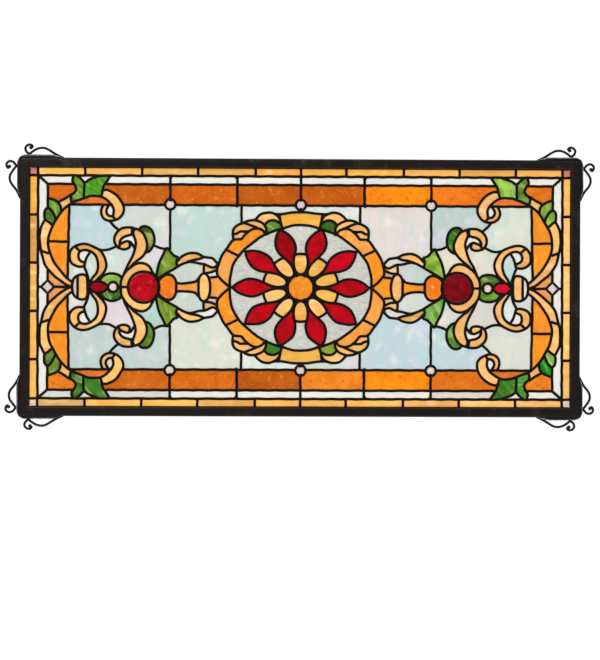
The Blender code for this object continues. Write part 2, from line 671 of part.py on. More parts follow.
build_glazing()
add_bar("top_rail", True, 1)
add_bar("bottom_rail", True, -1)
add_bar("left_stile", False, -1)
add_bar("right_stile", False, 1)
for level, up in (("top", 1), ("bottom", -1)):
    for side, across in (("left", -1), ("right", 1)):
        loop = [from_corner(across, up, x, y) for x, y in STRAP_OUTLINE]
        add_plate(f"corner_strap_{level}_{side}", loop, -FRAME_DEPTH + STRAP_INSET, -STRAP_INSET)
        add_wire(f"end_scroll_{level}_{side}", across, up, TOP_WIRE)
        add_wire(f"side_scroll_{level}_{side}", across, up, SIDE_WIRE)
for thing in bpy.data.objects:
    print(thing.name, sum(len(p.vertices) - 2 for p in thing.data.polygons))
print("total", sum(len(p.vertices) - 2 for thing in bpy.data.objects for p in thing.data.polygons))
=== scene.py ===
import math
import random

import bpy
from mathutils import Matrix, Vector
from mathutils.geometry import delaunay_2d_cdt


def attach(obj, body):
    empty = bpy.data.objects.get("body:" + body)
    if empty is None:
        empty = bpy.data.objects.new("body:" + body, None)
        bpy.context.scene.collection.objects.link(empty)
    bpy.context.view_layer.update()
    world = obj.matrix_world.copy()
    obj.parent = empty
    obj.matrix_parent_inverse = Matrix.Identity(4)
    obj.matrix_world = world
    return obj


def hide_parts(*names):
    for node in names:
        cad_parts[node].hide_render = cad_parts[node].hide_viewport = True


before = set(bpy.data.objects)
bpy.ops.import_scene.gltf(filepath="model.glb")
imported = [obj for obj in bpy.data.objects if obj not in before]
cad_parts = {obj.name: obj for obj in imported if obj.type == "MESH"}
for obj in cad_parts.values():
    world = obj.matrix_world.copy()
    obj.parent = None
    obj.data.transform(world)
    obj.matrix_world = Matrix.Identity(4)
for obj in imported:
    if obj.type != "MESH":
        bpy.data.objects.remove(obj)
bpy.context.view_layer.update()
bpy.context.scene.view_settings.view_transform = "Standard"
print("frame loaded, nodes:", len(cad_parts))

square = 0.0015  # one square of the glazier's cartoon, in metres
sightHalf = (270.2 * square, 119.2 * square)
barWidth = 9.4 * square
frameDepth = 0.014
middleY = -frameDepth / 2
middleZ = -(sightHalf[1] + barWidth / 2)
glassThickness = 0.003
underFrame = {"glass": 0.0065, "lead": 0.006}  # how far each reaches into the channel
roseSize = (69.5, 62.0)
petalStep = 36  # degrees from one red petal to the next


def place(x, z, depth):
    return (x * square, depth, middleZ + z * square)


def linked(name, data):
    made = bpy.data.objects.new(name, data)
    bpy.context.scene.collection.objects.link(made)
    return made


# shader and geometry graphs

class Signal:
    def __init__(self, graph, socket):
        self.graph = graph
        self.socket = socket

    def maths(self, operation, first, second):
        return self.graph.node("ShaderNodeMath", {"operation": operation}, {0: first, 1: second})

    def __add__(self, other):
        return self.maths("ADD", self, other)

    def __sub__(self, other):
        return self.maths("SUBTRACT", self, other)

    def __rsub__(self, other):
        return self.maths("SUBTRACT", other, self)

    def __mul__(self, other):
        return self.maths("MULTIPLY", self, other)

    __radd__ = __add__
    __rmul__ = __mul__


class Graph:
    def __init__(self, tree):
        self.tree = tree

    def node(self, kind, settings=None, sockets=None, output=0):
        made = self.tree.nodes.new(kind)
        for name, value in (settings or {}).items():
            if name == "stops":
                while len(made.color_ramp.elements) < len(value):
                    made.color_ramp.elements.new(1.0)
                for element, (position, colour) in zip(made.color_ramp.elements, value):
                    element.position = position
                    element.color = colour
            else:
                setattr(made, name, value)
        for name, value in (sockets or {}).items():
            if isinstance(value, Signal):
                self.tree.links.new(value.socket, made.inputs[name])
            else:
                made.inputs[name].default_value = value
        return Signal(self, made.outputs[output])


class Finish(Graph):
    def __init__(self, name):
        self.material = bpy.data.materials.new(name)
        self.material.use_nodes = True
        super().__init__(self.material.node_tree)
        self.tree.nodes.clear()
        self.surface = self.tree.nodes.new("ShaderNodeBsdfPrincipled")
        end = self.tree.nodes.new("ShaderNodeOutputMaterial")
        self.tree.links.new(self.surface.outputs[0], end.inputs[0])
        self.point = self.node("ShaderNodeTexCoord", output="Object")

    def noise(self, size, stretch=(1, 1, 1), detail=3.0, seed=None, turn=None):
        spot = self.point
        if turn is not None:
            about = {"Vector": spot, "Angle": turn}
            spot = self.node("ShaderNodeVectorRotate", {"rotation_type": "Y_AXIS"}, about)
        spot = self.node("ShaderNodeMapping", None, {"Vector": spot, "Scale": stretch})
        sockets = {"Vector": spot, "Scale": 1 / size, "Detail": detail}
        if seed is None:
            return self.node("ShaderNodeTexNoise", None, sockets)
        sockets["W"] = seed
        return self.node("ShaderNodeTexNoise", {"noise_dimensions": "4D"}, sockets)

    def window(self, value, low, high):
        sockets = {"Value": value, "From Min": low, "From Max": high}
        return self.node("ShaderNodeMapRange", {"interpolation_type": "SMOOTHSTEP"}, sockets)

    def mix(self, mask, first, second, how="MIX"):
        settings = {"data_type": "RGBA", "blend_type": how}
        return self.node("ShaderNodeMix", settings, {0: mask, 6: first, 7: second}, output=2)

    def bump(self, height, distance):
        return self.node("ShaderNodeBump", None, {"Height": height, "Distance": distance})

    def set(self, **sockets):
        for name, value in sockets.items():
            target = self.surface.inputs[socketNames[name]]
            if isinstance(value, Signal):
                self.tree.links.new(value.socket, target)
            else:
                target.default_value = value


socketNames = {
    "colour": "Base Color", "rough": "Roughness", "normal": "Normal",
    "clear": "Transmission Weight", "bend": "IOR", "shine": "Specular IOR Level",
    "glow": "Emission Color", "glowStrength": "Emission Strength",
}


def tone(red, green, blue):
    linear = []
    for part in (red, green, blue):
        part = part / 255
        linear.append(part / 12.92 if part <= 0.04045 else ((part + 0.055) / 1.055) ** 2.4)
    return (*linear, 1.0)


# the glazier's cartoon of one quarter, in squares across and up from the middle of the panel:
# half a lead's width before its points, but a curved lead's is in the lead dictionary

straightLeads = [
    (1.1, [(261.8, 0), (261.8, 126)]), (0.9, [(0, 111), (277, 111)]), (0.8, [(252.2, 102.5), (252, 78)]),
    (0.8, [(252, 17), (252, 6)]), (0.8, [(252.2, 102.5), (227, 102.5)]),
    (0.85, [(195.5, 102.5), (0, 102.5)]), (1.0, [(230.8, 82), (232.2, 7.5)]),
    (0.8, [(230.8, 82), (188, 82)]), (0.8, [(177.4, 82), (135.2, 82)]), (0.8, [(125.4, 82), (4.9, 82)]),
    (0.8, [(261.8, 111), (252.2, 102.5)]), (1.0, [(0, 111), (0, 126)]), (1.1, [(45.3, 111), (45.3, 126)]),
    (0.95, [(102.7, 111), (102.7, 126)]), (1.05, [(158.5, 111), (158.5, 126)]),
    (1.0, [(215, 111), (215, 126)]), (0.8, [(261.8, 24), (277, 24)]), (0.8, [(261.8, 72), (277, 72)]),
    (0.85, [(130.3, 78), (130.3, 38.5)]), (0.9, [(59.2, 82), (59.2, 65)]),
    (0.8, [(259, 35.9), (251.1, 33.1)]), (0.7, [(251.5, 45.2), (231.6, 45)]),
    (0.95, [(247, 0), (227.7, 0)]), (1.0, [(261.8, 0), (257.5, 0)]), (0.9, [(187.5, 70.4), (184.7, 67)]),
    (1.0, [(182.8, 0), (172.2, 0)]), (0.95, [(224.3, 39.5), (220, 35.4)]),
    (0.95, [(222.2, 11.2), (222.2, 0)]), (1.0, [(74.8, 37.7), (62, 31.7)]),
]
heavyLeads = [
    (1.75, [(130.3, 110), (130.3, 87)]), (1.9, [(63.5, 110), (63.5, 82.5)]), (1.5, [(0, 110), (0, 87)]),
    (1.8, [(0, 78), (0, 76)]), (1.3, [(215.8, 104.2), (216.1, 96), (216.2, 89)]),
    (1.4, [(168, 59), (168.5, 52.5)]), (1.7, [(21.5, 73.4), (20.5, 66), (18.5, 59)]),
]
curvedLeads = {
    "side arc": [(187.3, 70.6), (186.5, 76.9), (188.2, 81.2), (191, 84.4), (195, 87.7), (199, 89.9),
        (203, 90.7), (208, 90.5), (213, 89.7), (221.5, 86.4), (228, 83.7), (236.7, 76.9), (244, 66.4),
        (249.8, 54.8), (251.7, 42.3), (248.7, 30.8), (242.5, 19.8), (233.7, 9.7), (227.2, 4.4)],
    "arc outer line": [(254.7, 67.2), (257.5, 61.9), (259.5, 56.4), (260.2, 49.4), (259.8, 42.4),
        (258.8, 36.4), (257, 28.9), (254.8, 22.4), (250.7, 16.1), (245.5, 11.2), (239.5, 6.1), (233.5, 2.2),
        (228, 0)],
    "stem": [(242, 84.1), (235.5, 87.8), (231, 90.6), (228.5, 92.2)],
    "side leaf": [(252, 88.4), (246.5, 86.6), (242, 84.1), (239.6, 80.9), (238.9, 77.5), (238.9, 73.6)],
    "side leaf vein": [(252, 79.1), (248, 75.4), (245.3, 70.4), (243.8, 66)],
    "lower side leaf": [(252, 79.1), (254.7, 76.1), (255.4, 71.9), (254.7, 67.2), (251, 64.4),
        (246.8, 60.6)],
    "corner leaf left": [(226.6, 110.5), (227.8, 105.5), (225.2, 101.1), (224, 97.6), (225.2, 94.3),
        (228, 92), (229.4, 89), (228.8, 85.4), (228, 83.7)],
    "corner leaf tops": [(223.1, 110.7), (219.7, 107.9), (215.5, 104.2), (211, 106.9), (206, 108.9),
        (201, 110.7)],
    "corner leaf right": [(190.5, 110.5), (192.5, 106.8), (195.4, 102.7), (196.8, 99.7), (197.7, 95.9),
        (198.2, 93.2), (199.3, 90)],
    "head scroll": [(197.7, 95.9), (194, 96.7), (190, 95.4), (186, 93.2), (182.5, 90.1), (179.4, 85.9),
        (177.2, 81.6), (176.6, 77.4), (177.6, 72.9), (180.5, 69.2), (184.5, 66.9), (189, 65.9),
        (193.5, 66.5), (197.3, 69.3), (199.1, 73.5), (198.7, 77.5), (196.8, 82)],
    "head scroll eye": [(187.3, 70.6), (190.7, 70.8), (193.2, 73), (194, 76.3), (192.8, 79.3), (190.8, 82)],
    "head scroll tail": [(190.5, 65.6), (186.5, 60.9), (181.5, 56.6)],
    "middle scroll": [(165.4, 58.3), (170, 59.5), (175, 59.3), (179.5, 57.7), (183.2, 54.9), (185.4, 50.9),
        (185.8, 46.4), (184.7, 42.4), (181.8, 39.4), (178, 37.9), (174, 37.9), (171, 39.4), (170.2, 42.1),
        (171.2, 45)],
    "middle scroll inner": [(167.3, 53.4), (171, 51.6), (175, 50.6), (178.5, 48.6), (180.4, 45.4),
        (180.5, 41.9), (181.5, 39.2)],
    "middle scroll curl": [(180.2, 42.4), (177, 44.3), (173, 45.6), (169.7, 44.6), (167.5, 41.9),
        (165.3, 38.5)],
    "arm left": [(165.4, 58.3), (167.1, 54.9), (166.4, 50.9), (165, 46.4), (164.6, 41.9), (165.6, 36.6),
        (167.5, 31.4), (170, 26.1), (172.5, 21.4), (176, 14)],
    "arm right": [(165.4, 58.3), (161.5, 57.1), (157.8, 54), (154.7, 49), (153.2, 43.5), (153.5, 38.5),
        (155.5, 34), (158.7, 29.8), (163, 26.2), (167.5, 22.7), (170.5, 19)],
    "middle leaf": [(161.5, 57.3), (159, 59.8), (155, 60.6), (151, 59.1), (147.8, 55.3), (146.2, 50.1),
        (146.3, 44.6), (148, 39.3), (151.2, 35.8), (155, 34.5)],
    "crescent": [(179.4, 0), (179, 5.9), (176.7, 11.9), (173, 16.9), (168.5, 20.6), (163.5, 23.2),
        (158.5, 24.1), (154, 22.9), (150.4, 19.6), (148, 15.3), (144.9, 10.6)],
    "c scroll": [(205.6, 4.6), (201.5, 8.7), (197.5, 12.7), (194.7, 17.2), (193.8, 22.7), (195, 28.7),
        (198, 33.9), (202, 37.7), (207, 40.4), (212.5, 42.3), (218, 42.8), (223, 41.5), (227, 38.7),
        (229.5, 35), (230.3, 30.5), (229.7, 26), (227, 22.5), (223, 20.6), (219.5, 20.1), (215.5, 20.6)],
    "c scroll inner": [(211.2, 2.5), (207, 9.2), (203.5, 14.2), (202, 19.7), (202.2, 25.2), (204, 30.2),
        (207, 33.7), (210, 35.7), (214, 36.8), (218, 36.3), (220.7, 34.3), (221.7, 31.1), (221, 27.9),
        (219, 25.8), (214.8, 24)],
    "c scroll eye": [(209.6, 35), (212.7, 30.4), (214.2, 26.4), (215.3, 21.8), (215.7, 19.5), (214.2, 16.5),
        (212.3, 11.5), (211.3, 6.5), (211, 0)],
    "c scroll link": [(201.4, 37.4), (197, 36.6), (192, 37.1), (188, 38.6), (183.6, 40.8)],
    "knot": [(227.7, 0), (227.3, 5), (225.3, 9), (222, 11.5), (218, 12.6), (214, 11.2), (212.5, 6.5),
        (212.5, 0)],
    "drop": [(211.5, 0), (208, 3.8), (204, 5.7), (199, 5.4), (195, 3.4), (191.5, 0)],
    "disc": [(201, 5.2), (198.5, 9.2), (194.5, 12.3), (188.3, 13.8), (182, 12.3), (177.6, 9)],
    "leaf link": [(146.7, 42.1), (142, 39.6), (137, 38.3), (130.3, 38.6)],
    "vase leaf right": [(132.8, 38.6), (130, 35.3), (126.7, 31.8), (122.5, 30), (123.8, 26.8),
        (123.8, 23.3), (122.3, 20.5)],
    "vase leaf left": [(133.5, 38.6), (135.4, 36.5), (137.3, 32.2), (140, 26.9), (142, 21.9), (143.2, 16.2),
        (144.2, 8)],
    "handle underside": [(144.5, 8), (140, 10.2), (135, 13.3), (130, 16.3), (125, 19.3), (120, 22.1),
        (115, 24.5), (110, 25.6), (105, 24.6), (100.5, 23.5), (96, 23.1), (92.5, 21.7), (89, 20),
        (86, 20.2), (82.6, 23)],
    "handle top": [(122.8, 26), (120, 29.5), (116, 32.3), (111.5, 34.1), (107, 34.3), (102, 33.2),
        (97, 30.6), (92.5, 29.9), (88.5, 29.2), (85.3, 26.4), (82.6, 23)],
    "handle split": [(113, 25.5), (107, 27.3), (102, 28.1), (96, 30.4)],
    "handle foot": [(96.4, 23.4), (96.8, 18.5), (96.4, 14.7), (92.5, 14.6), (88.5, 15.4), (83.4, 17.8)],
    "foot lower": [(91.3, 9.8), (83.4, 10.6)],
    "vase body": [(142, 0), (141.8, 5.8), (139.2, 9.5), (135.7, 11.7), (131.7, 12.7), (128, 11.3),
        (125.2, 7.8), (124.2, 3.8), (124.1, 0)],
    "neck": [(124.4, 4.4), (119, 3.8), (113, 4.2), (108, 4.9), (104.5, 6.1), (101.8, 9)],
    "rim left": [(96.6, 14.5), (100, 11.7), (101.7, 8), (102, 3.5), (101.8, 0)],
    "rim right": [(96.6, 14.5), (93.2, 11.9), (91.1, 7.6), (90.3, 3.6), (90.2, 0)],
    "foot": [(83.4, 12.7), (79.5, 8), (75, 3.7), (70.5, 0)],
    "ring outer": [(83.4, 12.7), (83.5, 17.7), (82.2, 22.7), (80.5, 27.7), (78, 32.7), (74.8, 37.7),
        (71.2, 42.8), (67.2, 47.4), (63, 48.2), (59.2, 48.7), (56.5, 51.9), (53.3, 55), (49.8, 57.6),
        (46, 59), (41.8, 58.8), (38, 57), (35.2, 53)],
    "ring inner": [(70.6, 0), (70.7, 6.8), (70, 12.7), (67.3, 22.8), (61, 32.9), (50, 43.3), (38, 51.8),
        (28, 56.1), (18, 59.3), (8, 62.1), (0, 62.7)],
    "ring curl": [(67.2, 47.4), (67.8, 52.2), (67.4, 57.3), (65.2, 60.8), (61.5, 63.2), (57.5, 64.4),
        (54, 66.1), (50, 67.2), (46, 67.3), (41.5, 65.9), (37.5, 63.5), (35, 59.9), (34.3, 56.4),
        (34.4, 53.2)],
    "ring curl split": [(57.5, 64.4), (55, 64.1), (50, 62.2), (45, 60.1), (40, 58)],
    "ring curl foot": [(67.6, 53), (63.5, 54.1), (60.5, 56), (56.5, 56), (51.5, 56)],
    "upper curl": [(45.5, 67.7), (42.5, 71.2), (39, 73.7), (35, 74.8), (31, 75), (27.2, 73.9), (23.5, 71.8),
        (21, 68)],
    "upper curl inner": [(36.4, 62.5), (33, 65.9), (29, 67.2), (25, 66.7), (20.3, 64)],
    "crown of ring": [(26, 73.5), (21, 73.4), (15, 74.2), (8, 75.1), (0, 75.5)],
}
diamondLead = [(258.5, 0), (252, 6.4), (245.5, 0), (252, -6.4)]
roundLeads = [  # across, up, radius, half a lead's width and the number of points
    (130.3, 82.6, 5.1, 1.6, 24), (0, 82.6, 5.1, 1.6, 24), (156.6, 0, 15.6, 1.2, 44), (187, 0, 4.9, 1.6, 24),
]
drawingError = 0.035


def smoothed(points, steps=6):
    # a curve through every point of the drawing
    before = (2 * points[0][0] - points[1][0], 2 * points[0][1] - points[1][1])
    after = (2 * points[-1][0] - points[-2][0], 2 * points[-1][1] - points[-2][1])
    drawn = [before] + list(points) + [after]
    curve = [points[0]]
    for i in range(len(points) - 1):
        for step in range(1, steps + 1):
            t = step / steps
            curve.append(tuple(
                0.5 * (2 * q + (r - p) * t + (2 * p - 5 * q + 4 * r - s) * t * t
                       + (3 * q - p - 3 * r + s) * t ** 3)
                for p, q, r, s in zip(*drawn[i:i + 4])
            ))
    return curve


def thinned(points, error):
    # leaves out the points that stand less than error off the line
    if len(points) < 3:
        return list(points)
    (ax, ay), (bx, by) = points[0], points[-1]
    length = math.hypot(bx - ax, by - ay)
    offs = [0.0]
    for px, py in points[1:-1]:
        if length < 1e-6:
            offs.append(math.hypot(px - ax, py - ay))
        else:
            offs.append(abs((bx - ax) * (py - ay) - (by - ay) * (px - ax)) / length)
    worst = max(range(len(offs)), key=offs.__getitem__)
    if offs[worst] <= error:
        return [points[0], points[-1]]
    return thinned(points[:worst + 1], error)[:-1] + thinned(points[worst:], error)


def mirrored(points):
    lines = []
    for across in (1, -1):
        for up in (1, -1):
            line = [(across * x, up * z) for x, z in points]
            if line not in lines:
                lines.append(line)
    return lines


def quarters(x, z):
    return {(x, z), (-x, z), (x, -z), (-x, -z)}


def ringPoints(x, z, radius, count):
    turn = 2 * math.pi / count
    return [(x + radius * math.cos(turn * i), z + radius * math.sin(turn * i)) for i in range(count)]


def rosePoint(turn, share, aside=0.0):
    # a share of the way out from the middle of the rose, and a share aside of that ray
    x = share * math.cos(turn) - aside * math.sin(turn)
    z = share * math.sin(turn) + aside * math.cos(turn)
    return (roseSize[0] * x, roseSize[1] * z)


# widths and lengths in squares; the bead's rise and how far it is sunk in the glass in metres
lead = {
    "half": 1.1, "base": 1.45, "rise": 0.0013, "sunk": 0.0003, "arcSteps": 7, "spacing": 2.6,
    "wobble": 0.16, "wobbleEnd": 7, "wobbleLength": (14, 24),
    "uneven": 0.1, "unevenLengths": ((9, 0.6), (4, 0.4)),
    "flare": 0.35, "flareLength": 3.0, "endReach": 0.35, "mitre": 0.9, "diamondHalf": 1.2,
    "tail": {"half": 0.9, "reach": (5.2, 10), "drop": 0.4, "taper": (2.6, 0.8)},
    "thin": {"head scroll tail": 0.7, "c scroll link": 0.65, "leaf link": 0.75, "arc outer line": 1.0,
        "stem": 0.9, "ring curl split": 0.85, "handle split": 0.85, "handle foot": 0.9, "foot lower": 0.9,
        "upper curl inner": 0.9, "middle scroll curl": 0.9, "side leaf vein": 0.9, "ring inner": 1.0,
        "ring outer": 1.0, "crown of ring": 1.0},
}
# the boss and the widths in squares, the sides of the petals in shares of the rose
rose = {
    "boss": 13.1, "bossHalf": 1.3, "bossPoints": 28, "petalHalf": 0.95, "spokeHalf": 1.15, "spokeEnd": 0.37,
    "spokeTaper": (1.8, 0.9),
    "redSide": [(0.375, 0), (0.41, 0.022), (0.45, 0.04), (0.507, 0.066), (0.567, 0.1), (0.63, 0.127),
        (0.7, 0.139), (0.77, 0.134), (0.847, 0.105), (0.92, 0.06), (0.985, 0)],
    "amberSide": [(0.212, 0), (0.232, 0.045), (0.28, 0.078), (0.35, 0.098), (0.43, 0.103), (0.5, 0.097),
        (0.53, 0.083), (0.543, 0.045), (0.546, 0)],
}


def divided(points, closed, spacing):
    path = list(points) + ([points[0]] if closed else [])
    made = [path[0]]
    for (x0, z0), (x1, z1) in zip(path, path[1:]):
        steps = max(1, round(math.hypot(x1 - x0, z1 - z0) / spacing))
        made += [(x0 + (x1 - x0) * i / steps, z0 + (z1 - z0) * i / steps) for i in range(1, steps + 1)]
    return made[:-1] if closed else made


def distances(points):
    far = [0.0]
    for one, two in zip(points, points[1:]):
        far.append(far[-1] + math.dist(one, two))
    return far


def handmade(points, dice):
    # a hand-bent lead wanders a little between its two ends
    far = distances(points)
    end = lead["wobbleEnd"]
    if far[-1] < 2 * end:
        return points
    turns = [(dice.uniform(0, 6.28), dice.uniform(*lead["wobbleLength"])) for axis in range(2)]
    made = []
    for (x, z), s in zip(points, far):
        hold = lead["wobble"] * min(1.0, s / end, (far[-1] - s) / end)
        made.append(tuple(v + hold * math.sin(a + 6.28 * s / b) for v, (a, b) in zip((x, z), turns)))
    return made


def leadLines():
    made = []

    def add(group, half, points, closed=False, taper=(1, 1)):
        dice = random.Random(f"lead {group} {len(made)}")
        path = divided(points, closed, lead["spacing"])
        made.append({"group": group, "half": half, "closed": closed, "taper": taper, "dice": dice,
                     "points": path if closed else handmade(path, dice)})

    for group, drawn in (("border", straightLeads), ("heavy", heavyLeads)):
        for half, points in drawn:
            for line in mirrored(points):
                add(group, half, line)
    for name, points in curvedLeads.items():
        for line in mirrored(thinned(smoothed(points), drawingError)):
            add("scroll", lead["thin"].get(name, lead["half"]), line)
    for across in (1, -1):
        add("border", lead["diamondHalf"], [(across * x, z) for x, z in diamondLead], True)
    for x, z, radius, half, count in roundLeads:
        for cx, cz in sorted(quarters(x, z)):
            add("scroll", half, ringPoints(cx, cz, radius, count), True)
            if z:
                # the strip's lead swells where it meets the ring of a small jewel
                tail = lead["tail"]
                level = cz - math.copysign(tail["drop"], cz)
                for side in (1, -1):
                    ends = [(cx + side * along, level) for along in tail["reach"]]
                    add("border", tail["half"], ends, False, tail["taper"])
    for angle in range(0, 360, petalStep):
        turn = math.radians(angle)
        for side in (1, -1):
            points = [rosePoint(turn, share, side * aside) for share, aside in rose["redSide"]]
            add("rose", rose["petalHalf"], thinned(smoothed(points), drawingError) + [rosePoint(turn, 1.0)])
        x, z = rosePoint(turn, rose["spokeEnd"])
        inward = rose["boss"] / math.hypot(x, z)
        add("rose", rose["spokeHalf"], [(inward * x, inward * z), (x, z)], False, rose["spokeTaper"])
        between = turn + math.radians(petalStep / 2)
        sides = [smoothed([rosePoint(between, share, side * aside) for share, aside in rose["amberSide"]])
                 for side in (1, -1)]
        add("rose", rose["petalHalf"], thinned(sides[0][:-1] + sides[1][:0:-1], drawingError), True)
    add("rose", rose["bossHalf"], ringPoints(0, 0, rose["boss"], rose["bossPoints"]), True)
    return made


# the panes left between the leads

cell = 8  # squares in each cell of the grid that finds the leads near a point


def leadEdge(points, closed, half):
    # the two sides of a lead, as one loop, or as two where the lead is a ring
    count = len(points)
    last = count if closed else count - 1
    normals = []
    for i in range(last):
        (x0, z0), (x1, z1) = points[i], points[(i + 1) % count]
        length = math.hypot(x1 - x0, z1 - z0)
        normals.append(((z0 - z1) / length, (x1 - x0) / length))
    left, right = [], []
    for i in range(count):
        one = normals[i - 1] if closed else normals[max(i - 1, 0)]
        two = normals[i] if closed else normals[min(i, last - 1)]
        sx, sz = one[0] + two[0], one[1] + two[1]
        scale = half / max((sx * sx + sz * sz) / 2, lead["mitre"])
        left.append((points[i][0] + sx * scale, points[i][1] + sz * scale))
        right.append((points[i][0] - sx * scale, points[i][1] - sz * scale))
    if closed:
        return [left, right]
    reach = lead["endReach"] * half
    tip = (points[-1][0] + normals[-1][1] * reach, points[-1][1] - normals[-1][0] * reach)
    tail = (points[0][0] - normals[0][1] * reach, points[0][1] + normals[0][0] * reach)
    return [left + [tip] + right[::-1] + [tail]]


def segmentGrid(lines):
    grid = {}
    for line in lines:
        points, closed, half = line["points"], line["closed"], line["half"]
        count = len(points)
        for i in range(count if closed else count - 1):
            (x0, z0), (x1, z1) = points[i], points[(i + 1) % count]
            ends = (i == 0 and not closed, i == count - 2 and not closed)
            columns, rows = [range(int((min(a, b) - half) // cell), int((max(a, b) + half) // cell) + 1)
                             for a, b in ((x0, x1), (z0, z1))]
            for column in columns:
                for row in rows:
                    grid.setdefault((column, row), []).append((x0, z0, x1 - x0, z1 - z0, half, ends))
    return grid


def underLead(point, grid):
    px, pz = point
    for x0, z0, dx, dz, half, ends in grid.get((int(px // cell), int(pz // cell)), []):
        length = math.hypot(dx, dz)
        along = ((px - x0) * dx + (pz - z0) * dz) / length
        reach = lead["endReach"] * half
        if (ends[0] and along < -reach) or (ends[1] and along > length + reach):
            continue
        t = max(0.0, min(1.0, along / length))
        if math.hypot(px - x0 - t * dx, pz - z0 - t * dz) < 0.995 * half:
            return True
    return False


def loopArea(loop):
    return 0.5 * sum(loop[i - 1][0] * loop[i][1] - loop[i][0] * loop[i - 1][1] for i in range(len(loop)))


def outlineLoops(triangles):
    # the edges that only one triangle has, joined end to end
    edges = {(tri[i], tri[(i + 1) % 3]) for tri in triangles for i in range(3)}
    onward = {}
    for a, b in sorted(edges):
        if (b, a) not in edges:
            onward.setdefault(a, []).append(b)
    loops = []
    while onward:
        current = next(iter(onward))
        loop = []
        while current in onward:
            loop.append(current)
            following = onward[current].pop()
            if not onward[current]:
                del onward[current]
            current = following
        loops.append(loop)
    return loops


def findPanes(lines, leastArea=0.6):
    # cuts the sheet along both sides of every lead and gathers the triangles that no lead covers
    wide, high = [(half + underFrame["glass"]) / square for half in sightHalf]
    spots = [Vector(c) for c in ((-wide, -high), (wide, -high), (wide, high), (-wide, high))]
    edges = []
    for line in lines:
        for side in leadEdge(line["points"], line["closed"], line["half"]):
            start = len(spots)
            spots += [Vector(p) for p in side]
            edges += [(start + i, start + (i + 1) % len(side)) for i in range(len(side))]
    corners, _, triangles, _, _, parents = delaunay_2d_cdt(spots, edges, [[0, 1, 2, 3]], 1, 0.01)
    points = [(p.x, p.y) for p in corners]
    grid = segmentGrid(lines)
    glass = []
    for tri, parent in zip(triangles, parents):
        middle = (sum(points[i][0] for i in tri) / 3, sum(points[i][1] for i in tri) / 3)
        if 0 in parent and not underLead(middle, grid):
            glass.append(tri)
    byEdge = {}
    for index, tri in enumerate(glass):
        for i in range(3):
            byEdge.setdefault(frozenset((tri[i], tri[(i + 1) % 3])), []).append(index)
    group = list(range(len(glass)))

    def root(index):
        while group[index] != index:
            group[index] = group[group[index]]
            index = group[index]
        return index

    for pair in byEdge.values():
        if len(pair) == 2:
            group[root(pair[0])] = root(pair[1])
    gathered = {}
    for index, tri in enumerate(glass):
        gathered.setdefault(root(index), []).append(tri)
    panes = []
    for triangles in gathered.values():
        loops = [[points[i] for i in loop] for loop in outlineLoops(triangles)]
        outer = max(loops, key=loopArea)
        if loopArea(outer) > leastArea:
            panes.append(outer)
    return panes


def holds(loop, spot):
    inside = False
    for i in range(len(loop)):
        (x0, z0), (x1, z1) = loop[i - 1], loop[i]
        if (z0 > spot[1]) != (z1 > spot[1]) and spot[0] < x0 + (spot[1] - z0) * (x1 - x0) / (z1 - z0):
            inside = not inside
    return inside


def grown(loop, distance, closest=0.12, mitre=0.5):
    # moves every side of the loop outward, after points that all but coincide are merged
    clean = []
    for point in loop:
        if not clean or math.dist(point, clean[-1]) > closest:
            clean.append(point)
    while len(clean) > 3 and math.dist(clean[0], clean[-1]) <= closest:
        clean.pop()
    moved = []
    for i in range(len(clean)):
        (x0, z0), (x1, z1), (x2, z2) = clean[i - 1], clean[i], clean[(i + 1) % len(clean)]
        a, b = math.hypot(x1 - x0, z1 - z0), math.hypot(x2 - x1, z2 - z1)
        nx = (z1 - z0) / a + (z2 - z1) / b
        nz = (x0 - x1) / a + (x1 - x2) / b
        scale = distance / max((nx * nx + nz * nz) / 2, mitre)
        moved.append((x1 + nx * scale, z1 + nz * scale))
    return moved


lines = leadLines()
panes = findPanes(lines)
print("lead lines", len(lines), "panes", len(panes))


# what glass goes where: spots in the upper right quarter are mirrored to all four,
# and the panes cut from another sheet of the same glass are named by their signed spots

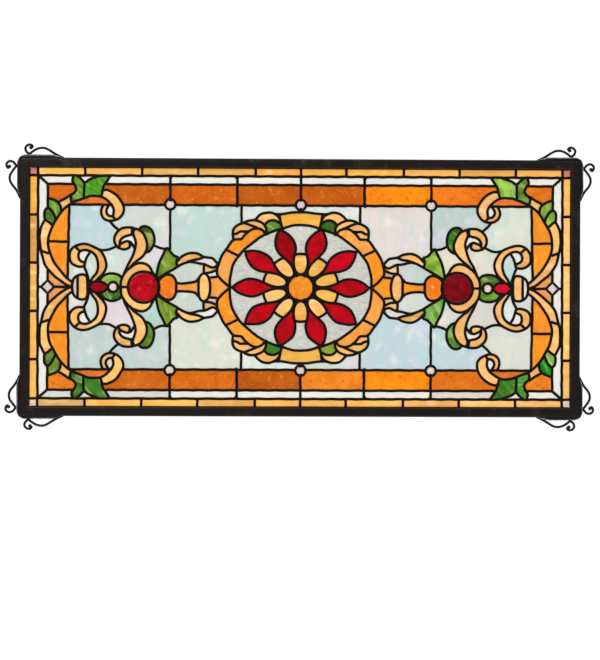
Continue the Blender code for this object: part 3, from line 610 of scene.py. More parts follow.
glassPlan = {
    "border": {
        "slot": "amber_glass", "tone": (247, 188, 100), "spread": 0.05,
        "spots": [(22.6, 118), (74, 118), (130.6, 118), (186.8, 118), (238.2, 118), (268.7, 0), (268.7, 48),
            (268.7, 91.5)],
        "sheets": {
            "gold": ((245, 182, 80), [(-22.6, 118), (22.6, 118), (74, 118), (-268.7, 91.5)]),
            "honey": ((251, 204, 120), [(268.7, 0), (268.7, 48), (268.7, -48), (238.2, -118), (186.8, -118),
                (268.7, -91.5)]),
            "straw": ((222, 184, 110), [(-238.2, -118)]),
            "tan": ((208, 160, 84), [(-268.7, 48)]),
        },
    },
    "scroll": {
        "slot": "amber_glass", "tone": (240, 189, 117), "spread": 0.05,
        "spots": [(33.6, 69.7), (43.4, 62.7), (58, 59.4), (61.5, 51.9), (91.9, 18.1), (96.3, 0),
            (112.1, 29), (161, 40.9), (166.1, 14.4), (175.2, 41.3), (178, 52.3), (186, 83.5), (195.3, 71.2),
            (198.2, 24.5), (196, 17), (217.5, 0), (226, 30), (234.6, 83.8), (245.3, 18.3), (254.7, 50.5),
            (0, 68.2), (15.2, 18.7), (24.5, 7.1), (0, 23.3)],
        "sheets": {
            "gold": ((241, 185, 89), [(0, -68.2), (15.2, 18.7), (24.5, 7.1), (24.5, -7.1)]),
            "saffron": ((240, 179, 75), [(0, 68.2), (0, 23.3), (0, -23.3)]),
            "toffee": ((224, 170, 94), [(-58, 59.4), (-178, -52.3), (112.1, -29), (-112.1, 29),
                (-198.2, 24.5), (-196, 17)]),
        },
    },
    "orange": {
        "slot": "orange_glass", "tone": (236, 149, 38), "spread": 0.03,
        "spots": [(0, 0), (55.7, 45.9), (74.3, 21.1), (79, 0), (111.9, 0), (132.8, 0), (239.2, 58.6),
            (239.9, 31.9), (244.9, 6)],
        "sheets": {
            "apricot": ((236, 163, 81), [(-74.3, 21.1), (55.7, 45.9), (55.7, -45.9), (74.3, -21.1),
                (-79, 0), (-111.9, 0)]),
            "marigold": ((236, 163, 56), [(-55.7, -45.9)]),
            "tangerine": ((230, 124, 32), [(-132.8, 0), (132.8, 0)]),
            "peach": ((226, 154, 99), [(-244.9, 6), (244.9, 6), (-244.9, -6), (244.9, -6)]),
        },
    },
    "granite": {
        "slot": "orange_glass", "tone": (212, 108, 15), "spread": 0.04,
        "spots": [(32.2, 92.6), (96.5, 92.6), (159.3, 93.3), (207.2, 85.7), (239.6, 95.3)],
        "sheets": {
            "flame": ((252, 150, 12), [(96.5, 92.6), (96.5, -92.6)]),
            "ember": ((233, 122, 25), [(159.3, 93.3), (159.3, -93.3), (239.6, 95.3)]),
            "coral": ((232, 122, 44), [(207.2, 85.7), (-207.2, 85.7), (-207.2, -85.7), (207.2, -85.7)]),
            "mandarin": ((241, 140, 34), [(-239.6, -95.3), (239.6, -95.3), (32.2, -92.6)]),
            "rust": ((194, 96, 10), [(-159.3, 93.3), (32.2, 92.6), (-32.2, -92.6), (-32.2, 92.6)]),
        },
    },
    "pale": {
        "slot": "leaded_glass", "tone": (208, 215, 206), "spread": 0.02,
        "spots": [(37.4, 76.3), (97.5, 57.7), (112.7, 14.6), (147.4, 28.9), (152.2, 65.6), (182.3, 26.9),
            (206, 21), (209.8, 59), (224.9, 15.5)],
        "sheets": {
            "milk": ((220, 226, 216), [(224.9, 15.5), (206, -21), (-37.4, -76.3), (37.4, 76.3),
                (-37.4, 76.3)]),
            "sky": ((190, 208, 211), [(-209.8, 59), (97.5, -57.7), (152.2, -65.6)]),
            "stone": ((199, 204, 196), [(-112.7, 14.6), (112.7, 14.6), (-112.7, -14.6)]),
            "haze": ((188, 201, 196), [(152.2, 65.6), (-209.8, -59), (-152.2, -65.6)]),
            "mint": ((191, 212, 204), [(206, 21), (-97.5, 57.7)]),
            "blush": ((223, 212, 208), [(97.5, 57.7), (182.3, -26.9), (-147.4, 28.9), (-182.3, -26.9)]),
            "pearl": ((218, 218, 206), [(209.8, 59), (209.8, -59), (-97.5, -57.7)]),
            "cream": ((221, 213, 198), [(182.3, 26.9), (147.4, 28.9), (147.4, -28.9)]),
            "jade": ((170, 204, 188), [(-147.4, -28.9)]),
        },
    },
    "white": {
        "slot": "leaded_glass", "tone": (236, 233, 224), "spread": 0.01,
        "spots": [(31.8, 107), (96.9, 107), (161.6, 107), (241.9, 107.1), (257.3, 86.7), (257.4, 14.8),
            (214.5, 108.3), (88, 13), (92.9, 25.4), (171.2, 47.6), (190.1, 76), (216.5, 31.4), (224.9, 0)],
        "sheets": {
            "chalk": ((222, 218, 207), [(-214.5, -108.3), (-190.1, -76), (-241.9, -107.1), (-161.6, -107),
                (161.6, -107), (92.9, -25.4), (-92.9, 25.4), (92.9, 25.4)]),
            "shell": ((215, 200, 191), [(-88, -13), (-224.9, 0)]),
            "champagne": ((228, 202, 144), [(88, -13)]),
            "fawn": ((206, 178, 146), [(88, 13)]),
        },
    },
    "ground": {
        "slot": "leaded_glass", "tone": (221, 221, 212), "spread": 0.01,
        "spots": [(0, 50.6), (33.4, 40.7), (55.3, 16.2)],
    },
    "green": {
        "slot": "green_glass", "tone": (110, 156, 55), "spread": 0.05,
        "spots": [(28.2, 61.3), (151.8, 50.4), (188.3, 9.3), (222.1, 97.2), (245.3, 79.1), (250.1, 70)],
        "sheets": {
            "lime": ((164, 193, 82), [(-188.3, 9.3), (245.3, 79.1), (250.1, 70)]),
            "spring": ((130, 176, 58), [(188.3, -9.3), (-222.1, 97.2), (-245.3, 79.1)]),
            "fern": ((100, 140, 51), [(188.3, 9.3), (222.1, 97.2), (-250.1, 70), (-28.2, 61.3)]),
            "pine": ((65, 122, 28), [(-188.3, -9.3), (-222.1, -97.2), (151.8, 50.4), (28.2, 61.3)]),
            "olive": ((134, 157, 53), [(28.2, -61.3), (-245.3, -79.1)]),
            "celery": ((188, 218, 134), [(250.1, -70)]),
            "grass": ((90, 168, 61), [(222.1, -97.2)]),
            "ivy": ((70, 144, 39), [(-28.2, -61.3)]),
            "moss": ((104, 108, 34), [(-151.8, 50.4)]),
            "emerald": ((16, 160, 0), [(245.3, -79.1)]),
        },
    },
    "leaf": {
        "slot": "green_glass", "tone": (116, 162, 52), "spread": 0.03,
        "spots": [(204.9, 100.3), (133.5, 23.6)],
        "sheets": {
            "lime": ((166, 204, 92), [(204.9, 100.3)]),
            "clover": ((86, 170, 32), [(-204.9, 100.3)]),
            "fern": ((74, 134, 42), [(-204.9, -100.3), (204.9, -100.3)]),
            "olive": ((139, 161, 56), [(-133.5, 23.6), (-133.5, -23.6)]),
            "fresh": ((152, 186, 66), [(133.5, 23.6)]),
            "apple": ((120, 180, 78), [(133.5, -23.6)]),
        },
        "nodes": [f"{leaf}_leaf_{level}_{side}" for leaf in ("corner", "vase")
                  for level in ("top", "bottom") for side in ("left", "right")],
    },
    "petal": {
        "slot": "red_glass", "tone": (194, 0, 20), "spread": 0.03,
        "spots": [rosePoint(math.radians(angle), 0.7) for angle in (0, 36, 72)],
        "sheets": {
            "garnet": ((156, 0, 12), [rosePoint(math.radians(108), 0.7)]),
            "ruby": ((208, 0, 26), [rosePoint(math.radians(36), 0.7)]),
        },
        "nodes": [f"red_petal_{angle:03d}" for angle in range(0, 360, petalStep)],
    },
    "drop": {
        "slot": "red_glass", "tone": (160, 2, 20), "spread": 0.0,
        "spots": [(203, 0)],
        "sheets": {
            "cherry": ((218, 12, 44), [(203, 0)]),
        },
        "nodes": ["red_drop_left", "red_drop_right"],
    },
    # a crown's rim is how much painted shade darkens a jewel toward its edge
    "jewel": {
        "slot": "red_glass", "tone": (200, 3, 27), "spread": 0.0, "crown": 0.0016, "rim": 0.35,
        "spots": [(156.6, 0)],
        "sheets": {
            "garnet": ((136, 0, 12), [(156.6, 0)]),
        },
        "nodes": ["large_jewel_left", "large_jewel_right"],
    },
    "bead": {
        "slot": "jewel_glass", "tone": (246, 226, 219), "spread": 0.0, "crown": 0.0018, "rim": 0.4,
        "spots": [(0, 82.6), (130.3, 82.5), (187, 0), (252, 0)],
        "nodes": [f"{kind}_jewel_{side}" for kind in ("disc", "diamond") for side in ("left", "right")]
        + [f"border_jewel_{level}_{side}" for level in ("top", "bottom")
           for side in ("left", "middle", "right")],
    },
    "corner": {
        "slot": "amber_glass", "tone": (230, 208, 188), "spread": 0.02,
        "spots": [(268.7, 118)],
        "sheets": {
            "clay": ((208, 133, 116), [(-268.7, 118), (268.7, 118)]),
            "bisque": ((244, 212, 194), [(-268.7, -118)]),
        },
    },
}
looseGlass = {
    "amberPetals": {
        "plan": "scroll", "nodes": [f"amber_petal_{angle:03d}" for angle in range(18, 360, petalStep)],
    },
    "roseBoss": {"plan": "orange", "nodes": ["rose_boss"]},
}


def sortPanes():
    chosen = {}
    for kind, plan in glassPlan.items():
        for x, z in plan["spots"]:
            for spot in quarters(x, z):
                for index, loop in enumerate(panes):
                    if holds(loop, spot):
                        chosen.setdefault(index, (kind, spot))
    for kind, plan in glassPlan.items():
        for colour, spots in plan.get("sheets", {}).values():
            for spot in spots:
                for index, loop in enumerate(panes):
                    if holds(loop, spot):
                        chosen[index] = (kind, spot)
    return chosen


def paneTone(kind, spot, dice):
    # the tone of the pane's sheet, a little lighter or darker and warmer or cooler
    plan = glassPlan[kind]
    colour = plan["tone"]
    for sheet, spots in plan.get("sheets", {}).values():
        if spot in spots:
            colour = sheet
    shift = 1 + dice.uniform(-1, 1) * plan["spread"]
    warm = 1 + dice.uniform(-0.5, 0.5) * plan["spread"]
    red, green, blue = colour
    return tone(min(255, red * shift), min(255, green * shift * warm), min(255, blue * shift))


# glass finishes: sizes in metres, and each veil is a colour, a size, a stretch,
# the part of the noise that shows and how much it covers

even = (1, 1, 1)
upright = (1.6, 1, 0.55)


def glassFinish(name, look):
    made = Finish(name)
    tint = made.node("ShaderNodeAttribute", {"attribute_name": "tint"}, output="Color")
    # each pane's own number picks its place in the patterns, so no two panes are cut from one spot
    own = made.node("ShaderNodeAttribute", {"attribute_name": "own"}, output="Fac") * 40
    turn = own * look["turn"] if "turn" in look else None
    streak = made.noise(look["streak"], look["stretch"], 3.0, own, turn)
    cloud = made.noise(look["cloud"], even, 2.0, own + 7)
    depth = made.window(streak * 0.65 + cloud * 0.35, 0.38, 0.62)
    colour = made.mix(1.0, tint, made.mix(depth, look["deep"], (1, 1, 1, 1)), "MULTIPLY")
    for count, (veil, size, stretch, low, high, share) in enumerate(look["veils"]):
        mask = made.window(made.noise(size, stretch, 2.0, own + (11 + 6 * count), turn), low, high)
        # a veil with no alpha deepens or lights the glass, one with alpha is a milky streak
        colour = made.mix(mask * share, colour, veil[:3] + (1.0,), "MIX" if veil[3] else "MULTIPLY")
    grain = made.noise(look["grain"], even, 2.0)
    swell = made.noise(look["swell"], look["stretch"], 2.0, own)
    height = grain * look["grainShare"] + swell * (1 - look["grainShare"])
    rough = made.noise(0.02, even, 2.0) * 0.12 + (look["rough"] - 0.06)
    made.set(colour=colour, rough=rough, normal=made.bump(height, look["relief"]))
    # painted backlight: the glass glows in its own colour, as if lit through from behind
    made.set(clear=look["clear"], bend=1.5, shine=look["shine"], glow=colour, glowStrength=look["glow"])
    return made.material


# each look's glow strength is painted backlight in the glass's own colour
glassLooks = {
    "amber": {
        "streak": 0.010, "stretch": (0.5, 1, 1.5), "cloud": 0.026, "deep": (0.93, 0.82, 0.66, 1),
        "grain": 0.0016, "swell": 0.011, "grainShare": 0.3, "relief": 0.0005, "rough": 0.22, "clear": 0.1,
        "shine": 0.12, "glow": 0.28,
        "veils": [(tone(255, 226, 170), 0.014, (0.5, 1, 1.3), 0.56, 0.74, 0.55),
            (tone(232, 150, 62), 0.009, (0.6, 1, 1.6), 0.6, 0.78, 0.4)],
    },
    "orange": {
        "streak": 0.014, "stretch": upright, "cloud": 0.03, "deep": (0.94, 0.8, 0.6, 1), "grain": 0.0018,
        "swell": 0.012, "grainShare": 0.4, "relief": 0.0005, "rough": 0.22, "clear": 0.12, "shine": 0.12,
        "glow": 0.3,
        "veils": [(tone(255, 190, 96), 0.0085, even, 0.58, 0.72, 0.5),
            (tone(255, 206, 140), 0.0021, even, 0.66, 0.74, 0.4)],
    },
    "granite": {
        "streak": 0.016, "stretch": even, "cloud": 0.04, "deep": (0.84, 0.74, 0.55, 1), "grain": 0.0018,
        "swell": 0.008, "grainShare": 0.7, "relief": 0.0006, "rough": 0.26, "clear": 0.12, "shine": 0.12,
        "glow": 0.26,
        "veils": [(tone(246, 152, 62), 0.007, even, 0.58, 0.74, 0.45),
            (tone(255, 188, 108), 0.0026, even, 0.63, 0.74, 0.5),
            (tone(160, 70, 14), 0.0055, even, 0.56, 0.72, 0.5)],
    },
    "pale": {
        "streak": 0.022, "stretch": upright, "cloud": 0.05, "deep": (0.94, 0.955, 0.955, 1), "grain": 0.002,
        "swell": 0.016, "grainShare": 0.4, "relief": 0.0004, "rough": 0.2, "clear": 0.15, "shine": 0.2,
        "glow": 0.25,
        "veils": [(tone(174, 216, 210), 0.015, upright, 0.53, 0.68, 0.55),
            (tone(220, 206, 230), 0.018, even, 0.54, 0.7, 0.45),
            (tone(240, 236, 222), 0.022, even, 0.54, 0.72, 0.45),
            (tone(176, 208, 220), 0.009, (1.8, 1, 0.7), 0.6, 0.74, 0.35),
            (tone(246, 244, 236), 0.0035, even, 0.62, 0.74, 0.35)],
    },
    "white": {
        "streak": 0.01, "stretch": (0.3, 1, 1), "cloud": 0.03, "deep": (0.95, 0.95, 0.96, 1),
        "grain": 0.0022, "swell": 0.005, "grainShare": 0.5, "relief": 0.0005, "rough": 0.15, "clear": 0.45,
        "shine": 0.25, "glow": 0.2,
        "veils": [(tone(184, 184, 178), 0.0026, (1, 1, 1.4), 0.58, 0.7, 0.4),
            (tone(214, 226, 234), 0.012, even, 0.56, 0.7, 0.5)],
    },
    "ground": {
        "streak": 0.006, "stretch": even, "cloud": 0.02, "deep": (0.88, 0.88, 0.885, 1), "grain": 0.002,
        "swell": 0.0045, "grainShare": 0.5, "relief": 0.0008, "rough": 0.22, "clear": 0.3, "shine": 0.25,
        "glow": 0.12,
        "veils": [(tone(168, 171, 172), 0.0046, (0.55, 1, 1.7), 0.55, 0.68, 0.55),
            (tone(246, 246, 244), 0.0052, (0.6, 1, 1.6), 0.58, 0.72, 0.6)],
    },
    "green": {
        "streak": 0.012, "stretch": (1.6, 1, 0.5), "cloud": 0.018, "deep": (0.4, 0.58, 0.3, 1),
        "turn": 0.045, "grain": 0.0016, "swell": 0.007, "grainShare": 0.25, "relief": 0.0005, "rough": 0.18,
        "clear": 0.2, "shine": 0.12, "glow": 0.26,
        "veils": [(tone(206, 224, 132), 0.014, (1.7, 1, 0.45), 0.52, 0.7, 0.45),
            (tone(26, 82, 20), 0.01, (1.8, 1, 0.5), 0.54, 0.74, 0.5)],
    },
    "petal": {
        "streak": 0.012, "stretch": even, "cloud": 0.03, "deep": (0.7, 0.4, 0.55, 1), "grain": 0.002,
        "swell": 0.01, "grainShare": 0.2, "relief": 0.0005, "rough": 0.15, "clear": 0.22, "shine": 0.05,
        "glow": 0.26,
        "veils": [((1.25, 1.0, 1.3, 0), 0.011, (1, 1, 0.7), 0.54, 0.72, 0.6),
            ((0.6, 0.5, 0.7, 0), 0.008, even, 0.56, 0.74, 0.6)],
    },
    "jewel": {
        "streak": 0.010, "stretch": even, "cloud": 0.02, "deep": (0.72, 0.5, 0.6, 1), "grain": 0.003,
        "swell": 0.009, "grainShare": 0.2, "relief": 0.001, "rough": 0.12, "clear": 0.25, "shine": 0.07,
        "glow": 0.24,
        # the first veil lights the red in pink patches: mottling of the glass, and painted highlight
        # patches on the jewel's facets
        "veils": [((1.35, 34.0, 4.0, 0), 0.0075, (1, 0.4, 0.7), 0.52, 0.62, 0.8),
            ((0.45, 0.4, 0.45, 0), 0.0075, even, 0.54, 0.68, 0.7)],
    },
    "bead": {
        "streak": 0.004, "stretch": even, "cloud": 0.01, "deep": (0.86, 0.82, 0.86, 1), "grain": 0.002,
        "swell": 0.004, "grainShare": 0.3, "relief": 0.0004, "rough": 0.1, "clear": 0.5, "shine": 0.35,
        "glow": 0.14,
        "veils": [(tone(200, 186, 198), 0.003, even, 0.55, 0.7, 0.5)],
    },
}
glassFinishes = {kind: glassFinish(kind + "Glass", look) for kind, look in glassLooks.items()}
finishOf = {"leaf": "green", "drop": "petal", "corner": "amber", "border": "amber", "scroll": "amber"}
print("glass finishes", len(glassFinishes))


pane = {"tuck": 0.45, "tilt": 0.00025,
        "dome": [(0.95, 0.35), (0.86, 0.62), (0.72, 0.82), (0.52, 0.94), (0.28, 1.0)]}


def wallFaces(a, b, count):
    # the faces between two rings of count points that start at a and b
    return [(a + i, b + i, b + (i + 1) % count, a + (i + 1) % count) for i in range(count)]


def glassPiece(name, parts, material, crown=0.0, rim=0.0):
    # every pane reaches under its leads and leans a little; a jewel has a crown, and painted shade makes
    # its front darker toward the rim
    verts, faces, tints, owns = [], [], [], []
    front = middleY - glassThickness / 2
    back = middleY + glassThickness / 2
    for loop, colour, own, dice in parts:
        loop = grown(loop, pane["tuck"])
        cx = sum(p[0] for p in loop) / len(loop)
        cz = sum(p[1] for p in loop) / len(loop)
        size = max(math.hypot(x - cx, z - cz) for x, z in loop)
        tiltX, tiltZ = [dice.uniform(-1, 1) * pane["tilt"] / size for axis in range(2)]
        rings = [(1, 0)] + (pane["dome"] if crown else [])
        start = len(verts)
        count = len(loop)
        for share, rise in rings:
            for x, z in loop:
                depth = front - crown * rise + ((x - cx) * tiltX + (z - cz) * tiltZ)
                verts.append(place(cx + share * (x - cx), cz + share * (z - cz), depth))
            # painted shade: a jewel's crown is darker toward its rim and lighter in the middle, as light
            # falls through a domed jewel
            tints += [tuple(part * (1 - rim * share ** 3) for part in colour[:3]) + (1.0,)] * count
        for x, z in loop:
            verts.append(place(x, z, back + (x - cx) * tiltX + (z - cz) * tiltZ))
        tints += [colour] * count
        last = start + (len(rings) - 1) * count
        behind = start + len(rings) * count
        for r in range(len(rings) - 1):
            for i in range(count):
                j = (i + 1) % count
                a, b = start + r * count, start + (r + 1) * count
                faces.append((a + i, a + j, b + j, b + i))
        faces.append(tuple(range(last, last + count)))
        faces.append(tuple(range(behind + count - 1, behind - 1, -1)))
        faces += wallFaces(start, behind, count)
        owns += [own] * (len(verts) - start)
    mesh = bpy.data.meshes.new(name)
    mesh.from_pydata(verts, [], faces)
    tint = mesh.attributes.new("tint", "FLOAT_COLOR", "POINT")
    tint.data.foreach_set("color", [part for colour in tints for part in colour])
    mesh.attributes.new("own", "FLOAT", "POINT").data.foreach_set("value", owns)
    if crown:
        mesh.shade_smooth()
        mesh.set_sharp_from_angle(angle=math.radians(50))
    mesh.materials.append(material)
    return linked(name, mesh)


chosen = sortPanes()
slivers = [loop for index, loop in enumerate(panes) if index not in chosen]
print("slivers filled with solder, in squares:", [round(loopArea(loop), 1) for loop in slivers])
glassParts = {}
for index, (kind, spot) in chosen.items():
    dice = random.Random(f"pane {round(spot[0])} {round(spot[1])} {kind}")
    group = kind
    if kind == "scroll" and math.dist(spot, (0, 0)) < roseSize[1] / 2:
        group = "amberPetals"
    if kind == "orange" and spot == (0, 0):
        group = "roseBoss"
    part = (panes[index], paneTone(kind, spot, dice), dice.random(), dice)
    glassParts.setdefault(group, []).append(part)
for group, parts in glassParts.items():
    loose = looseGlass.get(group, {})
    kind = loose.get("plan", group)
    plan = glassPlan[kind]
    name = group if loose else group + "Panes"
    finish = glassFinishes[finishOf.get(kind, kind)]
    piece = glassPiece(name, parts, finish, plan.get("crown", 0.0), plan.get("rim", 0.0))
    nodes = loose.get("nodes", [] if loose else plan.get("nodes", []))
    if nodes:
        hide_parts(*nodes)
    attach(piece, "root")
    print("glass", name, len(parts))


# the leads: a solder bead swept along every line, front and back

def leadFinish():
    made = Finish("leadPatina")
    worn = made.window(made.noise(0.004, even, 4.0), 0.52, 0.8)
    ripple = made.noise(0.0022, even, 2.0)
    made.set(colour=made.mix(worn, tone(12, 6, 4), tone(40, 27, 20)), rough=ripple * 0.25 + 0.3)
    made.set(shine=0.12, normal=made.bump(ripple, 0.0003))
    return made.material


leadMaterial = leadFinish()


def geometryTree(name, inputs):
    # a new tree with a named input for each size, and its sockets by those names
    tree = bpy.data.node_groups.new(name, "GeometryNodeTree")
    tree.interface.new_socket("Geometry", in_out="INPUT", socket_type="NodeSocketGeometry")
    tree.interface.new_socket("Geometry", in_out="OUTPUT", socket_type="NodeSocketGeometry")
    for label, (kind, value) in inputs.items():
        made = tree.interface.new_socket(label, in_out="INPUT", socket_type=kind)
        made.default_value = value
    graph = Graph(tree)
    start = tree.nodes.new("NodeGroupInput")
    ports = {label: Signal(graph, start.outputs[label]) for label in ["Geometry", *inputs]}
    return tree, graph, ports


def finishTree(tree, geometry, material):
    graph = geometry.graph
    solid = graph.node("GeometryNodeRealizeInstances", None, {"Geometry": geometry})
    smooth = graph.node("GeometryNodeSetShadeSmooth", None, {"Geometry": solid})
    dressed = graph.node("GeometryNodeSetMaterial", None, {"Geometry": smooth, "Material": material})
    end = tree.nodes.new("NodeGroupOutput")
    tree.links.new(dressed.socket, end.inputs[0])


def grownMesh(name, holder, tree, values):
    # runs the tree on the holder and keeps the result as a plain mesh
    modifier = holder.modifiers.new("grow", "NODES")
    modifier.node_group = tree
    for item in tree.interface.items_tree:
        if item.in_out == "INPUT" and item.name in values:
            modifier[item.identifier] = values[item.name]
    ready = holder.evaluated_get(bpy.context.evaluated_depsgraph_get())
    mesh = bpy.data.meshes.new_from_object(ready)
    mesh.name = name
    bpy.data.objects.remove(holder)
    return linked(name, mesh)


def pathHolder(name, paths):
    data = bpy.data.curves.new(name, "CURVE")
    data.dimensions = "3D"
    for points, closed, widths in paths:
        spline = data.splines.new("POLY")
        spline.points.add(len(points) - 1)
        for target, point, width in zip(spline.points, points, widths):
            target.co = (*point, 1.0)
            target.radius = width
        spline.use_cyclic_u = closed
    return linked(name, data)


def beadTree():
    inputs = {"Half Width": ("NodeSocketFloat", 0.0022), "Rise": ("NodeSocketFloat", 0.0013),
              "Glass": ("NodeSocketFloat", 0.0015), "Height": ("NodeSocketFloat", 0.0)}
    tree, graph, ports = geometryTree("solderBead", inputs)
    arc = graph.node("GeometryNodeCurveArc", {"mode": "RADIUS"}, {
        "Resolution": lead["arcSteps"], "Radius": 1.0, "Start Angle": 0.0, "Sweep Angle": math.pi,
        "Connect Center": False})
    size = {"X": ports["Half Width"], "Y": ports["Rise"] + lead["sunk"], "Z": 1.0}
    scale = graph.node("ShaderNodeCombineXYZ", None, size)
    profile = graph.node("GeometryNodeTransform", None, {"Geometry": arc, "Scale": scale})
    profile = graph.node("GeometryNodeSetSplineCyclic", None, {"Geometry": profile, "Cyclic": True})
    raised = graph.node("ShaderNodeCombineXYZ", None, {"Z": lead["sunk"] - ports["Glass"]})
    level = graph.node("GeometryNodeTransform", None, {
        "Geometry": ports["Geometry"], "Translation": raised})
    level = graph.node("GeometryNodeSetCurveNormal", {"mode": "Z_UP"}, {"Curve": level})
    sweep = graph.node("GeometryNodeCurveToMesh", None, {
        "Curve": level, "Profile Curve": profile, "Fill Caps": True})
    flipped = graph.node("GeometryNodeTransform", None, {"Geometry": sweep, "Scale": (1, 1, -1)})
    flipped = graph.node("GeometryNodeFlipFaces", None, {"Mesh": flipped})
    both = graph.tree.nodes.new("GeometryNodeJoinGeometry")
    for part in (sweep, flipped):
        tree.links.new(part.socket, both.inputs[0])
    lift = graph.node("ShaderNodeCombineXYZ", None, {"Y": middleY, "Z": ports["Height"]})
    stood = graph.node("GeometryNodeTransform", None, {
        "Geometry": Signal(graph, both.outputs[0]), "Rotation": (math.pi / 2, 0, 0), "Translation": lift})
    finishTree(tree, stood, leadMaterial)
    return tree


def leadWidths(line):
    # uneven along the lead and wider at its ends, as shares of the base half width
    points, dice = line["points"], line["dice"]
    far = distances(points + points[:1] if line["closed"] else points)
    length = far[-1]
    waves = [(dice.uniform(0, 6.28), length / max(1, round(length / size)), share)
             for size, share in lead["unevenLengths"]]
    widths = []
    for s in far[:len(points)]:
        width = 1 + lead["uneven"] * sum(share * math.sin(a + 6.2832 * s / b) for a, b, share in waves)
        if not line["closed"]:
            width *= line["taper"][0] + (line["taper"][1] - line["taper"][0]) * s / length
            near = max(0.0, 1 - min(s, length - s) / lead["flareLength"])
            width *= 1 + lead["flare"] * near * near
        widths.append(width * line["half"] / lead["base"])
    return widths


def heldInside(x, z):
    wide, high = [(half + underFrame["lead"]) / square for half in sightHalf]
    return (max(-wide, min(wide, x)) * square, max(-high, min(high, z)) * square, 0.0)


beads = beadTree()
edge = [(270.7 * across, 119.7 * up) for across, up in ((1, 1), (-1, 1), (-1, -1), (1, -1))]
edgeBead = {"group": "edge", "half": 0.85, "closed": True, "taper": (1, 1),
            "dice": random.Random("edge bead"), "points": divided(edge, True, 3.0)}
values = {"Half Width": lead["base"] * square, "Rise": lead["rise"], "Glass": glassThickness / 2,
          "Height": middleZ}
for group in ("border", "scroll", "rose", "heavy", "edge"):
    paths = [([heldInside(*point) for point in line["points"]], line["closed"], leadWidths(line))
             for line in lines + [edgeBead] if line["group"] == group]
    piece = grownMesh(group + "Leads", pathHolder(group + "Paths", paths), beads, values)
    if group == "border":
        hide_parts("leaded_field")
    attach(piece, "root")
    print("lead", group, len(paths), "lines", len(piece.data.polygons), "faces")

if slivers:
    dice = random.Random("solder")
    parts = [(loop, (0, 0, 0, 1), 0, dice) for loop in slivers]
    fill = glassPiece("solderFill", parts, leadMaterial, 0.0003)
    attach(fill, "root")

joint = {"flat": 0.0011, "spread": 1.2, "steps": 2, "most": 1.3, "clear": 1.5, "proud": 0.0001}


def jointTree():
    inputs = {"Square": ("NodeSocketFloat", 0.0015), "Flat": ("NodeSocketFloat", 0.0015)}
    tree, graph, ports = geometryTree("solderJoint", inputs)
    ball = graph.node("GeometryNodeMeshIcoSphere", None, {"Radius": 1.0, "Subdivisions": joint["steps"]})
    points = graph.node("GeometryNodeMeshToPoints", None, {"Mesh": ports["Geometry"], "Radius": 0.001})
    spread = graph.node("GeometryNodeInputNamedAttribute", {"data_type": "FLOAT"}, {"Name": "spread"})
    scale = graph.node("ShaderNodeCombineXYZ", None, {
        "X": spread * ports["Square"], "Y": spread * ports["Flat"], "Z": spread * ports["Square"]})
    placed = graph.node("GeometryNodeInstanceOnPoints", None, {
        "Points": points, "Instance": ball, "Scale": scale})
    finishTree(tree, placed, leadMaterial)
    return tree


jointSpots = {}
for line in lines:
    if not line["closed"]:
        for (x, z), taper in zip((line["points"][0], line["points"][-1]), line["taper"]):
            if all(abs(v) < half / square - joint["clear"] for v, half in zip((x, z), sightHalf)):
                key = (round(x), round(z))
                size = joint["spread"] * line["half"] * min(taper, joint["most"])
                jointSpots[key] = max(jointSpots.get(key, 0), size)
jointSpots[(71, 0)] = jointSpots[(-71, 0)] = 1.9  # where the ring's two sides meet the foot
jointMesh = bpy.data.meshes.new("jointSpots")
sides = [(spot, side) for spot in sorted(jointSpots) for side in (-1, 1)]
proud = glassThickness / 2 + joint["proud"]
jointMesh.from_pydata([place(*spot, middleY + side * proud) for spot, side in sides], [], [])
spread = jointMesh.attributes.new("spread", "FLOAT", "POINT")
spread.data.foreach_set("value", [jointSpots[spot] for spot, side in sides])
holder = linked("jointSpots", jointMesh)
solderJoints = grownMesh("solderJoints", holder, jointTree(), {"Square": square, "Flat": joint["flat"]})
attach(solderJoints, "root")
print("solder joints", len(jointSpots))


# frame channel, corner straps and wire scrolls

def lacquerFinish(name, deep, worn, wearAndSheenFrom, rough, edge=0.0):
    # edge is how much sooner the light patches come on a rounded edge, where they are worn metal and
    # painted edge highlight
    made = Finish(name)
    broad = made.noise(0.03, even, 4.0)
    fine = made.noise(0.0025, even, 3.0)
    height = broad * 0.65 + fine * 0.35
    if edge:
        height = height + made.node("ShaderNodeAttribute", {"attribute_name": "worn"}, output="Fac") * edge
    # the light patches are worn-through patina on every piece, and on the frame and straps also painted
    # sheen and highlights
    mask = made.window(height, wearAndSheenFrom, wearAndSheenFrom + 0.2)
    made.set(colour=made.mix(mask, deep, worn), rough=fine * 0.2 + rough, shine=0.25)
    made.set(normal=made.bump(fine * 0.4 + broad * 0.6, 0.0006))
    return made.material


# the frame's light patches are wear and a painted broad sheen
frameMaterial = lacquerFinish("framePatinaAndSheen", tone(20, 11, 7), tone(62, 46, 37), 0.52, 0.26)
# the straps' light patches are wear and painted highlights along their rounded edges
strapMaterial = lacquerFinish("strapPatinaAndHighlight", tone(16, 11, 9), tone(150, 143, 136), 0.62, 0.24, 0.25)
wireMaterial = lacquerFinish("scrollBlack", tone(12, 10, 9), tone(48, 43, 40), 0.55, 0.32)

channel = {"roundFront": 0.0026, "roundBack": 0.0008, "groove": 0.0075, "lip": 0.0038, "steps": 5,
           "lengths": 24}


